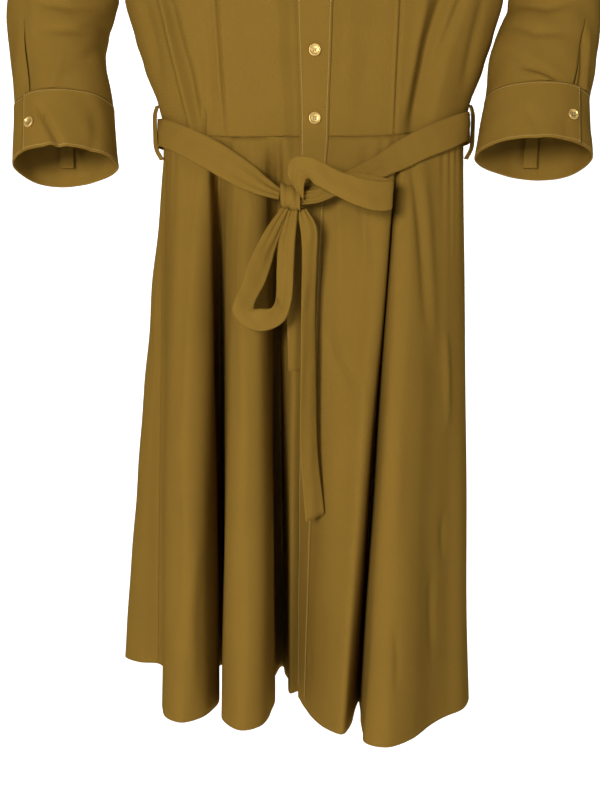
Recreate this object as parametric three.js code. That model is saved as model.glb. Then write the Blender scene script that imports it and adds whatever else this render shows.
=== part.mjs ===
// A shirt dress in crepe with cuffed sleeves and a tied belt, hollow, hanging as if filled out by a wearer.
// Millimetres, +Z up. The origin is the middle of the neck at shoulder height, where the dress is held up.
// Left and right are the wearer's: the left side is +X, and the front faces -Y.
import * as THREE from 'three';

// ---- Cloth ----
const CLOTH = 1.4;
const DOUBLE_CLOTH = 2;
const BAND_CLOTH = 1.6;
const TAB_CLOTH = 1.8;
const SEAM = 0.3;
const WAIST_GAP = 0.45;

// ---- Bodice and skirt heights ----
const WAIST_Z = -425;
const HEM_Z = -1110;
const NECK_FRONT_Z = -85;
const NECK_BACK_Z = -18;
const ARMPIT_Z = -235;
const SHOULDER_TIP_Z = -42;

// ---- Widths and depths ----
const WAIST_HALF = 182;
const WAIST_FRONT = 68;
const WAIST_BACK = 66;
const NECK_HALF = 85;
const SHOULDER_HALF = 198;
const BAND_HALF = 16;
const UNDERLAP = 3.2;
const LEFT_WAIST_RISE = 38;
const RIGHT_WAIST_RISE = 12;

// ---- Belt, buttons and loops ----
const BELT_WIDE = 35;
const BELT_THICK = 1.8;
const BUTTON_WIDE = 14;
const BUTTON_THICK = 3;
const BUTTON_DISH = 1.7;
const BUTTON_SIDES = 12;
const CUFF_BUTTON_WIDE = 13;
const LOOP_WIDE = 6;

// ---- Colours ----
const OLIVE = 0x8a6a30;
const OLIVE_DEEP = 0x775a26;
const BRASS = 0xd9b468;

const { sin, cos, asin, abs, max, min, sign, PI } = Math;
const radians = (degrees) => (degrees * PI) / 180;
const mix = (a, b, share) => a + (b - a) * share;
const vec = (x, y, z) => new THREE.Vector3(x, y, z);

// count + 1 values from start to end
const steps = (start, end, count) => Array.from({ length: count + 1 }, (_, i) => mix(start, end, i / count));

// The value of a column at a height, between the rows of a table that are sorted by z.
function atHeight(rows, z, column) {
  const next = rows.findIndex((row) => row.z >= z);
  if (next === -1) return rows[rows.length - 1][column];
  if (next === 0) return rows[0][column];
  const [low, high] = [rows[next - 1], rows[next]];
  const share = (z - low.z) / (high.z - low.z);
  return mix(low[column], high[column], share * share * (3 - 2 * share) * 0.4 + share * 0.6);
}

// ---- Walls of cloth ----

function normalOf(surface, u, v) {
  const step = 1e-3;
  const along = surface(u + step, v).sub(surface(u - step, v));
  const down = surface(u, v + step).sub(surface(u, v - step));
  return along.cross(down).normalize();
}

// A point moved off a surface, away from the garment's inside when off is positive.
function movedOut(surface, u, v, off, outward = 1) {
  return surface(u, v).addScaledVector(normalOf(surface, u, v), off * outward);
}

// A closed wall over a surface, half its thickness to each side. columns and rows are the values of u and v.
// closed joins the last column to the first, and open(i, j) leaves out a cell, as at a slit.
function clothWall(surface, columns, rows, { thick = CLOTH, closed = false, open = () => false } = {}) {
  const positions = [];
  const index = [];
  const across = columns.length;
  for (const v of rows) {
    for (const u of columns) {
      const point = surface(u, v);
      const half = normalOf(surface, u, v).multiplyScalar(thick / 2);
      positions.push(...point.clone().add(half), ...point.clone().sub(half));
    }
  }
  const cellsAcross = closed ? across : across - 1;
  const cellsDown = rows.length - 1;
  const there = (i, j) => {
    if (j < 0 || j >= cellsDown || (!closed && (i < 0 || i >= cellsAcross))) return false;
    return !open((i + cellsAcross) % cellsAcross, j);
  };
  const corner = (i, j, side) => 2 * (j * across + (i % across)) + side;
  const quad = (a, b, c, d) => index.push(a, b, c, a, c, d);
  for (let j = 0; j < cellsDown; j++) {
    for (let i = 0; i < cellsAcross; i++) {
      if (!there(i, j)) continue;
      const ring = [[i, j], [i + 1, j], [i + 1, j + 1], [i, j + 1]];
      const [a, b, c, d] = ring.map(([x, y]) => corner(x, y, 0));
      const [e, f, g, h] = ring.map(([x, y]) => corner(x, y, 1));
      quad(a, b, c, d);
      quad(e, h, g, f);
      if (!there(i, j - 1)) quad(a, e, f, b);
      if (!there(i + 1, j)) quad(b, f, g, c);
      if (!there(i, j + 1)) quad(c, g, h, d);
      if (!there(i - 1, j)) quad(d, h, e, a);
    }
  }
  return outwardSolid(positions, index);
}

// A geometry whose faces point out, whichever way the surface ran.
function outwardSolid(positions, index) {
  let volume = 0;
  const at = (n) => vec(positions[3 * n], positions[3 * n + 1], positions[3 * n + 2]);
  for (let n = 0; n < index.length; n += 3) {
    volume += at(index[n]).dot(at(index[n + 1]).cross(at(index[n + 2])));
  }
  if (volume < 0) {
    for (let n = 0; n < index.length; n += 3) [index[n], index[n + 1]] = [index[n + 1], index[n]];
  }
  const geometry = new THREE.BufferGeometry();
  geometry.setAttribute('position', new THREE.Float32BufferAttribute(positions, 3));
  geometry.setIndex(index);
  return geometry;
}

const dress = new THREE.Group();

function addPiece(name, geometry, color = OLIVE, roughness = 0.85, metalness = 0) {
  const mesh = new THREE.Mesh(geometry, new THREE.MeshStandardMaterial({ color, roughness, metalness }));
  mesh.name = name;
  dress.add(mesh);
  return mesh;
}

// ---- The waist line: turn is in degrees, 0 at the centre front, 90 at the left side and 180 at the back

function waistHeight(turn) {
  const rise = sin(radians(turn)) > 0 ? LEFT_WAIST_RISE : RIGHT_WAIST_RISE;
  return WAIST_Z + rise * sin(radians(turn)) ** 4;
}

function waistPoint(turn, inward = 0) {
  const front = cos(radians(turn));
  const deep = front > 0 ? WAIST_FRONT : WAIST_BACK;
  return vec((WAIST_HALF - inward) * sin(radians(turn)), -(deep - inward) * front, waistHeight(turn));
}

// ---- Skirt ----
// A row for each ridge, side and valley of the folds: its turn at the waist, its place at the hem, and how
// soon it gets there (1 is even, less is sooner). The rows go from the right front's free edge round by the
// right side, the back and the left side to the left front's free edge, which lies over the right one's.
const FOLDS = [
  { name: 'under edge', turn: 5, x: -12, y: -2, soon: 1.0, inward: UNDERLAP },
  { name: 'under middle', turn: -2, x: -20, y: -7, soon: 1.0, inward: UNDERLAP },
  { name: 'under crease', turn: -7.5, x: -29, y: -15, soon: 1.0, inward: UNDERLAP },
  { name: 'valley 2', turn: -11, x: -33, y: 44, soon: 1.0 },
  { name: 'valley 2', turn: -13.5, x: -41, y: 86, soon: 0.75 },
  { name: 'valley 2', turn: -16, x: -50, y: 56, soon: 0.8 },
  { name: 'fold 3', turn: -19, x: -49, y: -60, soon: 0.9 },
  { name: 'fold 3', turn: -22, x: -63, y: -119, soon: 0.9 },
  { name: 'fold 3', turn: -26, x: -85, y: -131, soon: 0.9 },
  { name: 'fold 3', turn: -30, x: -107, y: -104, soon: 0.9 },
  { name: 'fold 3', turn: -33, x: -113, y: -20, soon: 0.8 },
  { name: 'valley 1', turn: -35.5, x: -118, y: 68, soon: 0.65 },
  { name: 'valley 1', turn: -38, x: -124, y: 93, soon: 0.6 },
  { name: 'valley 1', turn: -40.5, x: -130, y: 68, soon: 0.65 },
  { name: 'fold 2', turn: -44, x: -118, y: -32, soon: 0.8 },
  { name: 'fold 2', turn: -49, x: -132, y: -90, soon: 0.9 },
  { name: 'fold 2', turn: -55, x: -156, y: -109, soon: 0.9 },
  { name: 'fold 2', turn: -63, x: -180, y: -86, soon: 0.85 },
  { name: 'fold 2', turn: -72, x: -189, y: -20, soon: 0.7 },
  { name: 'side valley', turn: -81, x: -197, y: 70, soon: 0.8 },
  { name: 'right side seam', turn: -88, x: -212, y: 98, soon: 0.85 },
  { name: 'side lobe', turn: -94, x: -238, y: 104, soon: 0.85 },
  { name: 'side lobe', turn: -101, x: -262, y: 128, soon: 0.85 },
  { name: 'side lobe', turn: -110, x: -246, y: 160, soon: 0.85 },
  { name: 'back valley', turn: -121, x: -204, y: 138, soon: 0.85 },
  { name: 'back lobe', turn: -133, x: -160, y: 174, soon: 0.9 },
  { name: 'back valley', turn: -146, x: -112, y: 130, soon: 0.8 },
  { name: 'back lobe', turn: -160, x: -60, y: 170, soon: 0.9 },
  { name: 'back valley', turn: -175, x: -8, y: 126, soon: 0.8 },
  { name: 'back lobe', turn: -190, x: 46, y: 166, soon: 0.9 },
  { name: 'back valley', turn: -205, x: 96, y: 116, soon: 0.8 },
  { name: 'back lobe', turn: -220, x: 146, y: 150, soon: 0.9 },
  { name: 'back valley', turn: -237, x: 172, y: 88, soon: 0.85 },
  { name: 'side lobe', turn: -254, x: 199, y: 66, soon: 0.9 },
  { name: 'left side seam', turn: -268, x: 190, y: 18, soon: 1.0 },
  { name: 'left side', turn: -278, x: 194, y: -32, soon: 1.2 },
  { name: 'fold 5', turn: -288, x: 180, y: -66, soon: 1.0 },
  { name: 'fold 5', turn: -298, x: 158, y: -90, soon: 1.0 },
  { name: 'fold 5', turn: -307, x: 134, y: -118, soon: 1.0 },
  { name: 'fold 5', turn: -314, x: 110, y: -157, soon: 1.0 },
  { name: 'fold 5', turn: -319, x: 80, y: -178, soon: 0.95 },
  { name: 'fold 5', turn: -322.5, x: 58, y: -168, soon: 0.95 },
  { name: 'fold 5', turn: -324.5, x: 54, y: -136, soon: 0.9 },
  { name: 'valley 3', turn: -326, x: 56, y: -40, soon: 0.72 },
  { name: 'fold 4', turn: -328, x: 39, y: -128, soon: 0.9 },
  { name: 'fold 4', turn: -333, x: 31, y: -143, soon: 0.95 },
  { name: 'fold 4', turn: -340, x: 14, y: -128, soon: 1.1 },
  { name: 'fold 4', turn: -348, x: -1, y: -96, soon: 1.0 },
  { name: 'band seam', turn: -354.7, x: -11, y: -62, soon: 0.75 },
  { name: 'band edge', turn: -365.2, x: -19, y: -24, soon: 0.9 },
];
const RIGHT_SIDE = FOLDS.findIndex((fold) => fold.name === 'right side seam');
const LEFT_SIDE = FOLDS.findIndex((fold) => fold.name === 'left side seam');
const BAND_SEAM = FOLDS.findIndex((fold) => fold.name === 'band seam');
const BAND_EDGE = FOLDS.length - 1;

// The skirt's section, as a smooth line through the folds: down is 0 at the waist and 1 at the hem.
const sections = new Map();
function skirtSection(down) {
  const key = down.toFixed(6);
  if (!sections.has(key)) {
    const points = FOLDS.map(({ turn, x, y, soon, inward = 0 }) => {
      const waist = waistPoint(turn, inward);
      const share = max(down, 0) ** soon;
      return vec(mix(waist.x, x, share), mix(waist.y, y, share), mix(waist.z - WAIST_GAP, HEM_Z, down));
    });
    sections.set(key, new THREE.CatmullRomCurve3(points, false, 'centripetal'));
  }
  return sections.get(key);
}

const skirt = (place, down) => skirtSection(down).getPoint(min(max(place / BAND_EDGE, 0), 1));

const SKIRT_ROWS = [0, 0.07, 0.18, 0.34, 0.54, 0.76, 1];
const SEAM_STEP = 0.013;

// The columns between two rows of FOLDS, so many to a span.
const columnsBetween = (first, last, each) => steps(first, last, each * (last - first));
const trimmed = (columns) => [columns[0] + SEAM_STEP, ...columns.slice(1, -1), columns.at(-1) - SEAM_STEP];

const rightColumns = [...columnsBetween(0, RIGHT_SIDE, 2).slice(0, -1), RIGHT_SIDE - SEAM_STEP];
addPiece('skirt_front_right', clothWall(skirt, rightColumns, SKIRT_ROWS));
addPiece('skirt_back', clothWall(skirt, trimmed(columnsBetween(RIGHT_SIDE, LEFT_SIDE, 3)), SKIRT_ROWS));
addPiece('skirt_front_left', clothWall(skirt, trimmed(columnsBetween(LEFT_SIDE, BAND_SEAM, 2)), SKIRT_ROWS));

// ---- Bodice ----
// A row for each height: half the width at the side or armhole, the depth of the centre front and centre
// back, and how far the armhole's front and back edges stand from the side.
const BODICE = [
  { z: -426, half: 182, front: 68, back: 66, armFront: 0, armBack: 0 },
  { z: -400, half: 183.5, front: 70, back: 67, armFront: 0, armBack: 0 },
  { z: -380, half: 188.5, front: 72, back: 68, armFront: 0, armBack: 0 },
  { z: -332, half: 206, front: 77, back: 71, armFront: 0, armBack: 0 },
  { z: -300, half: 216, front: 80, back: 73, armFront: 0, armBack: 0 },
  { z: -256, half: 228, front: 81, back: 75, armFront: 0, armBack: 0 },
  { z: -235, half: 231, front: 80, back: 76, armFront: 0, armBack: 0 },
  { z: -215, half: 214, front: 78, back: 76, armFront: 24, armBack: 22 },
  { z: -180, half: 196, front: 74, back: 76, armFront: 36, armBack: 36 },
  { z: -140, half: 187, front: 68, back: 74, armFront: 36, armBack: 40 },
  { z: -90, half: 189, front: 56, back: 68, armFront: 22, armBack: 30 },
  { z: -42, half: 198, front: 46, back: 60, armFront: -3, armBack: 6 },
  { z: 0, half: 198, front: 40, back: 52, armFront: -8, armBack: 8 },
];
const SHOULDER_Y = 4;
const NECK_SIDE_Y = 8;
// The front and the back stop this far to each side of the shoulder seam's middle.
const SHOULDER_PART = 0.8;

// The neckline: turn 0 is the centre front, 90 the left shoulder and 180 the centre back.
function neckPoint(turn) {
  const front = cos(radians(turn));
  const drop = front > 0 ? NECK_FRONT_Z : NECK_BACK_Z;
  const reach = front > 0 ? NECK_SIDE_Y + 46 : 44;
  return vec(NECK_HALF * sin(radians(turn)), NECK_SIDE_Y - reach * front, drop * abs(front) ** 1.15);
}

// The top edge of the bodice at a distance from the centre: the neckline, then the shoulder seam.
function bodiceTop(x, facing) {
  const out = abs(x);
  if (out < NECK_HALF) {
    const turn = asin(x / NECK_HALF) * (180 / PI);
    return neckPoint(facing > 0 ? turn : 180 - turn).add(vec(0, -facing * SHOULDER_PART, 0));
  }
  const share = (out - NECK_HALF) / (SHOULDER_HALF - NECK_HALF);
  return vec(x, mix(NECK_SIDE_Y, SHOULDER_Y, share) - facing * SHOULDER_PART, SHOULDER_TIP_Z * share ** 1.1);
}

// The bodice's surface: turn as at the waist, and up from 0 at the waist to 1 at the neck and shoulders.
function bodice(turn, up) {
  const facing = cos(radians(turn)) >= 0 ? 1 : -1;
  const low = waistHeight(turn);
  const across = sin(radians(turn));
  const edgeZ = mix(low, SHOULDER_TIP_Z, up);
  const x = across * atHeight(BODICE, edgeZ, 'half');
  const top = bodiceTop(across * SHOULDER_HALF, facing);
  const z = mix(low + WAIST_GAP, top.z, up);
  const deep = atHeight(BODICE, z, facing > 0 ? 'front' : 'back');
  const edge = atHeight(BODICE, edgeZ, facing > 0 ? 'armFront' : 'armBack');
  const round = edge + (deep - edge) * abs(cos(radians(turn)));
  return vec(x, mix(-facing * round, top.y, max(up, 0) ** 5), z);
}

// The right front lies under the left one's band at the centre.
function bodiceRight(turn, up) {
  const point = bodice(turn, up);
  const under = min(max((turn + 11) / 3.5, 0), 1);
  point.y += UNDERLAP * under;
  return point;
}

const BAND_TURN = 5.2;
const BAND_GAP = 0.05;
const NECK_SIDE_TURN = asin(NECK_HALF / SHOULDER_HALF) * (180 / PI);
const SIDE_TRIM = 0.35;
const SHOULDER_TRIM = 0.003;
const ARMPIT_UP = (ARMPIT_Z - WAIST_Z) / (SHOULDER_TIP_Z - WAIST_Z);
// How far up the bodice the armhole is at a turn of the sleeve's rings: 0 is the shoulder, 180 the armpit.
const armholeUp = (turn) => mix(ARMPIT_UP, 1, (1 + cos(radians(turn))) / 2);
const RING_STEPS = 16;
const armholeRows = steps(180, 0, RING_STEPS / 2).map(armholeUp);
const BODICE_ROWS = [0, 0.12, 0.25, 0.38, ...armholeRows.slice(0, -1), 1 - SHOULDER_TRIM];
const sideTurns = steps(NECK_SIDE_TURN, 90 - SIDE_TRIM, 7);
const leftTurns = [...steps(BAND_TURN + BAND_GAP, NECK_SIDE_TURN, 4), ...sideTurns.slice(1)];
const rightTurns = [5, -2, -7.5, -11, -18, ...sideTurns.map((turn) => -turn)];
const backSideTurns = sideTurns.map((turn) => 180 - turn).reverse();
const halfBackTurns = [...backSideTurns, ...steps(180 - NECK_SIDE_TURN, 180, 4).slice(1)];
const backTurns = [...halfBackTurns, ...halfBackTurns.slice(0, -1).reverse().map((turn) => 360 - turn)];

addPiece('front_left', clothWall(bodice, leftTurns, BODICE_ROWS));
addPiece('front_right', clothWall(bodiceRight, rightTurns, BODICE_ROWS));
addPiece('back', clothWall(bodice, backTurns, BODICE_ROWS));

// ---- The button band, from the neck down over the waist seam to the hem: across is 0 at its free edge and
// 1 at its seam, and down is -1 at the neck, 0 at the waist and 1 at the hem.
function band(across, down) {
  if (down < 0) return bodice(mix(-BAND_TURN, BAND_TURN - BAND_GAP, across), -down);
  return skirt(mix(BAND_EDGE, BAND_SEAM + SEAM_STEP, across), down);
}

const bandRows = [...BODICE_ROWS.slice(1).reverse().map((row) => -row), -0.02, 0.02, ...SKIRT_ROWS.slice(1)];
addPiece('front_band', clothWall(band, steps(0, 1, 4), bandRows, { thick: BAND_CLOTH }));

// ---- Sleeves ----
// A row for each ring: its outer and inner points seen from the front, the middle's y, half its depth, and
// the pitch in degrees that lifts its front edge.
const RIGHT_SLEEVE = [
  { outX: 292, outZ: -108, inX: 239, inZ: -242, y: 5, deep: 68, pitch: 0 },
  { outX: 345, outZ: -178, inX: 240, inZ: -250, y: 10, deep: 62, pitch: 4 },
  { outX: 371, outZ: -254, inX: 243.5, inZ: -262, y: 12, deep: 57, pitch: 9 },
  { outX: 366, outZ: -322, inX: 252, inZ: -312, y: -4, deep: 53, pitch: 14 },
  { outX: 357, outZ: -388, inX: 241, inZ: -384, y: -24, deep: 50, pitch: 17 },
];
const RIGHT_CUFF_END = { outX: 355, outZ: -458, inX: 233, inZ: -456, y: -44, deep: 55, pitch: 18 };
const LEFT_SLEEVE = [
  { outX: 285, outZ: -112, inX: 238, inZ: -242, y: 5, deep: 68, pitch: 0 },
  { outX: 327, outZ: -182, inX: 237, inZ: -250, y: 10, deep: 62, pitch: 4 },
  { outX: 348, outZ: -254, inX: 236, inZ: -262, y: 14, deep: 57, pitch: 9 },
  { outX: 342, outZ: -322, inX: 215, inZ: -312, y: -4, deep: 54, pitch: 14 },
  { outX: 328, outZ: -380, inX: 205, inZ: -376, y: -24, deep: 51, pitch: 17 },
];
const LEFT_CUFF_END = { outX: 327, outZ: -450, inX: 190, inZ: -446, y: -44, deep: 56, pitch: 18 };
const CUFF_SKEW = 0.28;

// A ring's point: turn 0 is the outer side, 90 the front, 180 the inner side and 270 the back.
function ringPoint({ outX, outZ, inX, inZ, y, deep, pitch }, turn, skew = 0) {
  const out = (1 + cos(radians(turn))) / 2;
  const forward = sin(radians(turn)) * deep * (1 + (sin(radians(turn)) < 0 ? skew * cos(radians(turn)) : 0));
  const lift = forward * sin(radians(pitch));
  return vec(mix(inX, outX, out), y - forward * cos(radians(pitch)), mix(inZ, outZ, out) + lift);
}

// The armhole's edge on the bodice, turned as the sleeve's rings are, with the sleeve's end just clear of it.
function armholePoint(turn, relief) {
  const bodiceTurn = sin(radians(turn)) >= 0 ? 90 - SIDE_TRIM : 90 + SIDE_TRIM;
  const edge = bodice(bodiceTurn, min(armholeUp(turn), 1 - SHOULDER_TRIM));
  edge.x += relief;
  return edge;
}

function sleeveOf(side, rings, relief) {
  const lines = new Map();
  return (turn, along) => {
    const key = turn.toFixed(4);
    if (!lines.has(key)) {
      const points = [armholePoint(turn, relief), ...rings.map((ring) => ringPoint(ring, turn))];
      lines.set(key, new THREE.CatmullRomCurve3(points, false, 'centripetal'));
    }
    const point = lines.get(key).getPoint(min(max(along, 0), 1));
    point.x *= side;
    return point;
  };
}

// The cuff laps over itself at the outer front: run goes from 0, its under end, once round and on over it.
const CUFF_UNDER_END = 78;
const CUFF_RUN = 388;
const CUFF_STAND = 2.7;
const CUFF_RISE_FROM = 318;
const CUFF_RISE_OVER = 38;
function cuffOf(side, top, end) {
  return (run, along) => {
    const turn = CUFF_UNDER_END - run;
    const past = min(max((run - CUFF_RISE_FROM) / CUFF_RISE_OVER, 0), 1);
    const point = ringPoint(top, turn).lerp(ringPoint(end, turn, CUFF_SKEW), along);
    const middle = ringPoint(top, 0).add(ringPoint(top, 180)).multiplyScalar(0.5);
    const away = point.clone().sub(middle).setZ(0).normalize();
    point.addScaledVector(away, CUFF_STAND * past * past * (3 - 2 * past));
    point.x *= side;
    return point;
  };
}

// ---- Straps: a row for each place, with the strap's middle and its half width as a direction ----
function strapOf(rows, thick = BELT_THICK) {
  const middle = new THREE.CatmullRomCurve3(rows.map(({ at }) => vec(...at)), false, 'centripetal');
  const across = new THREE.CatmullRomCurve3(rows.map(({ half }) => vec(...half)), false, 'centripetal');
  const surface = (u, v) => {
    const along = min(max(v, 0), 1);
    return middle.getPoint(along).addScaledVector(across.getPoint(along), u);
  };
  return clothWall(surface, [-1, 0, 1], steps(0, 1, 2 * (rows.length - 1)), { thick });
}

// ---- Buttons: a dished disc with a rim, standing on its own base ----
function buttonOf(wide) {
  const r = wide / 2;
  const rim = 0.15 * wide;
  const profile = [
    { x: 0, y: 0 },
    { x: r - 0.5, y: 0 },
    { x: r, y: 0.7 },
    { x: r - 0.2, y: 2.4 },
    { x: r - 0.8, y: BUTTON_THICK },
    { x: r - 0.8 - rim, y: BUTTON_DISH },
    { x: 0, y: BUTTON_DISH },
  ];
  return new THREE.LatheGeometry(profile.map(({ x, y }) => new THREE.Vector2(x, y)), BUTTON_SIDES);
}

// Sews a button on a surface, on the side that faces a direction.
function sewButton(name, surface, u, v, wide, thick, facing, shank = SEAM) {
  const outward = normalOf(surface, u, v);
  if (outward.dot(facing) < 0) outward.negate();
  const button = addPiece(name, buttonOf(wide), BRASS, 0.3, 0.8);
  button.position.copy(surface(u, v)).addScaledVector(outward, thick / 2 + shank);
  button.quaternion.setFromUnitVectors(vec(0, 1, 0), outward);
}

const SLIT_TURN = 57;
const SLIT_WIDE = 1.6;
const SLIT_ROWS = 2;
const ringTurns = steps(0, 360, RING_STEPS).slice(0, -1);
const sleeveTurns = [...ringTurns, SLIT_TURN, SLIT_TURN + SLIT_WIDE].sort((a, b) => a - b);
const SLEEVE_ROWS = [0, 0.1, 0.24, 0.4, 0.56, 0.7, 0.84, 0.9995];
const CUFF_TOP_GAP = 0.013;
const CUFF_BUTTON_RUN = 377;
const CUFF_BUTTON_DOWN = 0.55;
const TAB_HALF = 8.5;
// A row for each place down a roll tab: x is the share from its end to its top.
const TAB_ROWS = [
  { x: 1, y: 36.5, z: -338 },
  { x: 0.4, y: 15, z: -398 },
  { x: 0.1, y: 6, z: -430 },
  { x: 0, y: 2, z: -452 },
];
const RIGHT_TAB = { top: -309, end: -304, back: 4 };
const LEFT_TAB = { top: 281, end: 266, back: 3 };
const SIDES = [
  { name: 'right', side: -1, rings: RIGHT_SLEEVE, cuffEnd: RIGHT_CUFF_END, tab: RIGHT_TAB, relief: 2.8 },
  { name: 'left', side: 1, rings: LEFT_SLEEVE, cuffEnd: LEFT_CUFF_END, tab: LEFT_TAB, relief: 2.3 },
];

for (const { name, side, rings, cuffEnd, tab, relief } of SIDES) {
  const sleeve = sleeveOf(side, rings, relief);
  const slit = (i, j) => sleeveTurns[i] === SLIT_TURN && j >= SLEEVE_ROWS.length - 1 - SLIT_ROWS;
  addPiece(`sleeve_${name}`, clothWall(sleeve, sleeveTurns, SLEEVE_ROWS, { closed: true, open: slit }));
  const cuff = cuffOf(side, rings.at(-1), cuffEnd);
  const cuffRuns = steps(0, CUFF_RUN, 24);
  const cuffWall = clothWall(cuff, cuffRuns, steps(CUFF_TOP_GAP, 1, 2), { thick: DOUBLE_CLOTH });
  addPiece(`cuff_${name}`, cuffWall, OLIVE_DEEP);
  const place = [CUFF_BUTTON_RUN, CUFF_BUTTON_DOWN];
  sewButton(`cuff_button_${name}`, cuff, ...place, CUFF_BUTTON_WIDE, DOUBLE_CLOTH, vec(side, -1, 0));
  const tabRows = TAB_ROWS.map(({ x, y, z }) => {
    return { at: [mix(tab.end, tab.top, x), y + tab.back, z], half: [TAB_HALF, 0, 0] };
  });
  addPiece(`roll_tab_${name}`, strapOf(tabRows, TAB_CLOTH), OLIVE_DEEP);
}

// ---- Collar: a stand round the neck, lapped at the front, and a fall that turns over it ----
const STAND_HIGH = 28;
const STAND_LEAN = 6;
const STAND_FOOT = 3.4;
const STAND_LAP = 10.8;
const FALL_START = 5;
const FALL_FOOT = 4;
const FALL_OFF = 4.2;
// Turns and heights where the stand laps under itself and the fall rolls over.
const STAND_UNDER_FROM = 340;
const STAND_UNDER_OVER = 8;
const FALL_ROLL = 16;
const FALL_BULGE = 3;
const SHOULDER_CLEAR = 2;
const SHOULDER_NEAR = 0.15;

function stand(turn, up, underlap = UNDERLAP) {
  const point = neckPoint(turn);
  const inward = vec(-point.x, NECK_SIDE_Y - point.y, 0).normalize();
  const under = min(max((turn - STAND_UNDER_FROM) / STAND_UNDER_OVER, 0), 1);
  point.addScaledVector(inward, STAND_LEAN * up + underlap * under);
  point.z += STAND_FOOT + STAND_HIGH * up;
  return point;
}

// The fall leaves the stand's top edge, rolls over and ends just clear of the bodice.
function fall(turn, out) {
  const top = stand(turn, 1, 0);
  top.z += FALL_FOOT;
  const side = sin(radians(turn));
  const front = cos(radians(turn)) >= 0;
  const across = mix(front ? 0.24 : 0, 0.57, abs(side) ** 1.8);
  const up = mix(front ? 0.845 : 0.925, 1 - SHOULDER_TRIM, abs(side) ** 3);
  const lean = asin(across) * (180 / PI) * sign(side || 1);
  const end = movedOut(bodice, front ? lean : 180 - lean, up, FALL_OFF, front ? FRONT_OUT : BACK_OUT);
  if (abs(cos(radians(turn))) < SHOULDER_NEAR) end.z += SHOULDER_CLEAR;
  const over = top.clone().lerp(end, 0.3);
  over.addScaledVector(vec(top.x, top.y - NECK_SIDE_Y, 0).normalize(), FALL_BULGE);
  over.z = top.z + FALL_ROLL;
  const roll = new THREE.QuadraticBezierCurve3(top, over, end);
  return roll.getPoint(min(max(out, 0), 1));
}
const FRONT_OUT = normalOf(bodice, 20, 0.5).y < 0 ? 1 : -1;
const BACK_OUT = normalOf(bodice, 160, 0.5).y > 0 ? 1 : -1;

const standTurns = steps(-STAND_LAP, 360 + STAND_LAP, 28);
const fallTurns = steps(FALL_START, 360 - FALL_START, 28);
addPiece('collar_stand', clothWall(stand, standTurns, [0, 1], { thick: DOUBLE_CLOTH }));
addPiece('collar_fall', clothWall(fall, fallTurns, steps(0, 1, 4), { thick: DOUBLE_CLOTH }));

// ---- Front buttons, from the neck down ----
const BODICE_BUTTONS = [-178, -254, -330, -406];
const SKIRT_BUTTONS = [-484, -552, -628, -704, -780];
// Below this the band is curved across, and its buttons stand on a longer shank.
const CURVED_FROM = 0.25;
const CURVED_SHANK = 1.25;
const FRONT = vec(0, -1, 0);
sewButton('front_button_1', stand, 0, 0.5, BUTTON_WIDE, DOUBLE_CLOTH, FRONT);
const buttonPlaces = [
  ...BODICE_BUTTONS.map((z) => -(z - WAIST_Z - WAIST_GAP) / (NECK_FRONT_Z - WAIST_Z - WAIST_GAP)),
  ...SKIRT_BUTTONS.map((z) => (z - WAIST_Z + WAIST_GAP) / (HEM_Z - WAIST_Z + WAIST_GAP)),
];
buttonPlaces.forEach((down, n) => {
  const shank = down > CURVED_FROM ? CURVED_SHANK : SEAM;
  sewButton(`front_button_${n + 2}`, band, 0.5, down, BUTTON_WIDE, BAND_CLOTH, FRONT, shank);
});

// ---- Belt: one strap, tied in a bow at the front, in the stretches that the knot divides it into ----
const BELT_HALF = BELT_WIDE / 2;
const BELT_SIDE = 190.4;
const BELT_BACK = 73.5;
function beltBack(across, turn) {
  const z = mix(-405, -411, (turn - 90) / 180) - 3 * sin(radians(turn - 90));
  return vec(BELT_SIDE * sin(radians(turn)), -BELT_BACK * cos(radians(turn)), z + across * BELT_HALF);
}
addPiece('belt_back', clothWall(beltBack, [-1, 1], steps(90.3, 269.7, 20), { thick: BELT_THICK }));

const BELT_RUN_RIGHT = [
  { at: [-190.4, -0.7, -411], half: [0, 0, 17.5] },
  { at: [-183, -26, -414], half: [3, 0, 16] },
  { at: [-162, -43, -423], half: [6, 0, 15.5] },
  { at: [-129, -58, -440], half: [8, 1, 15.5] },
  { at: [-100, -68, -458], half: [9, 1, 14.5] },
  { at: [-77, -77, -473], half: [9, 1, 12] },
  { at: [-58, -86, -485], half: [6, 1, 8.5] },
  { at: [-42.4, -94, -494], half: [1, 0, 6] },
];
const BELT_RUN_LEFT = [
  { at: [190.4, -1, -405], half: [0, 0, 17.5] },
  { at: [184, -26, -407], half: [0, 0, 17.5] },
  { at: [156, -46, -419], half: [-5, 0, 17] },
  { at: [127, -59, -432], half: [-6, 0, 16] },
  { at: [101, -68, -446], half: [-7, 0, 14.5] },
  { at: [78, -76, -459], half: [-6, 0, 12] },
  { at: [52, -83, -472], half: [-4, 0, 11] },
  { at: [22, -88, -483], half: [-1, 0, 11] },
  { at: [-15.8, -94, -492], half: [0, 0, 8] },
];
const BOW_LOOP_LEFT = [
  { at: [-15.9, -111, -496], half: [0, 1, 8] },
  { at: [-4, -121, -482], half: [-7, 3, 17] },
  { at: [18, -126, -485], half: [1, 1, 16] },
  { at: [48, -127, -496], half: [3, 0, 14] },
  { at: [72, -122, -502], half: [3, 0, 15] },
  { at: [88, -112, -499], half: [2, 0, 15] },
  { at: [82, -102, -497], half: [2, 0, 14.5] },
  { at: [58, -100, -493], half: [2, 0, 14] },
  { at: [28, -101, -488], half: [0, 0, 13] },
  { at: [-15.9, -103, -500], half: [0, 0, 8] },
];
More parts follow.
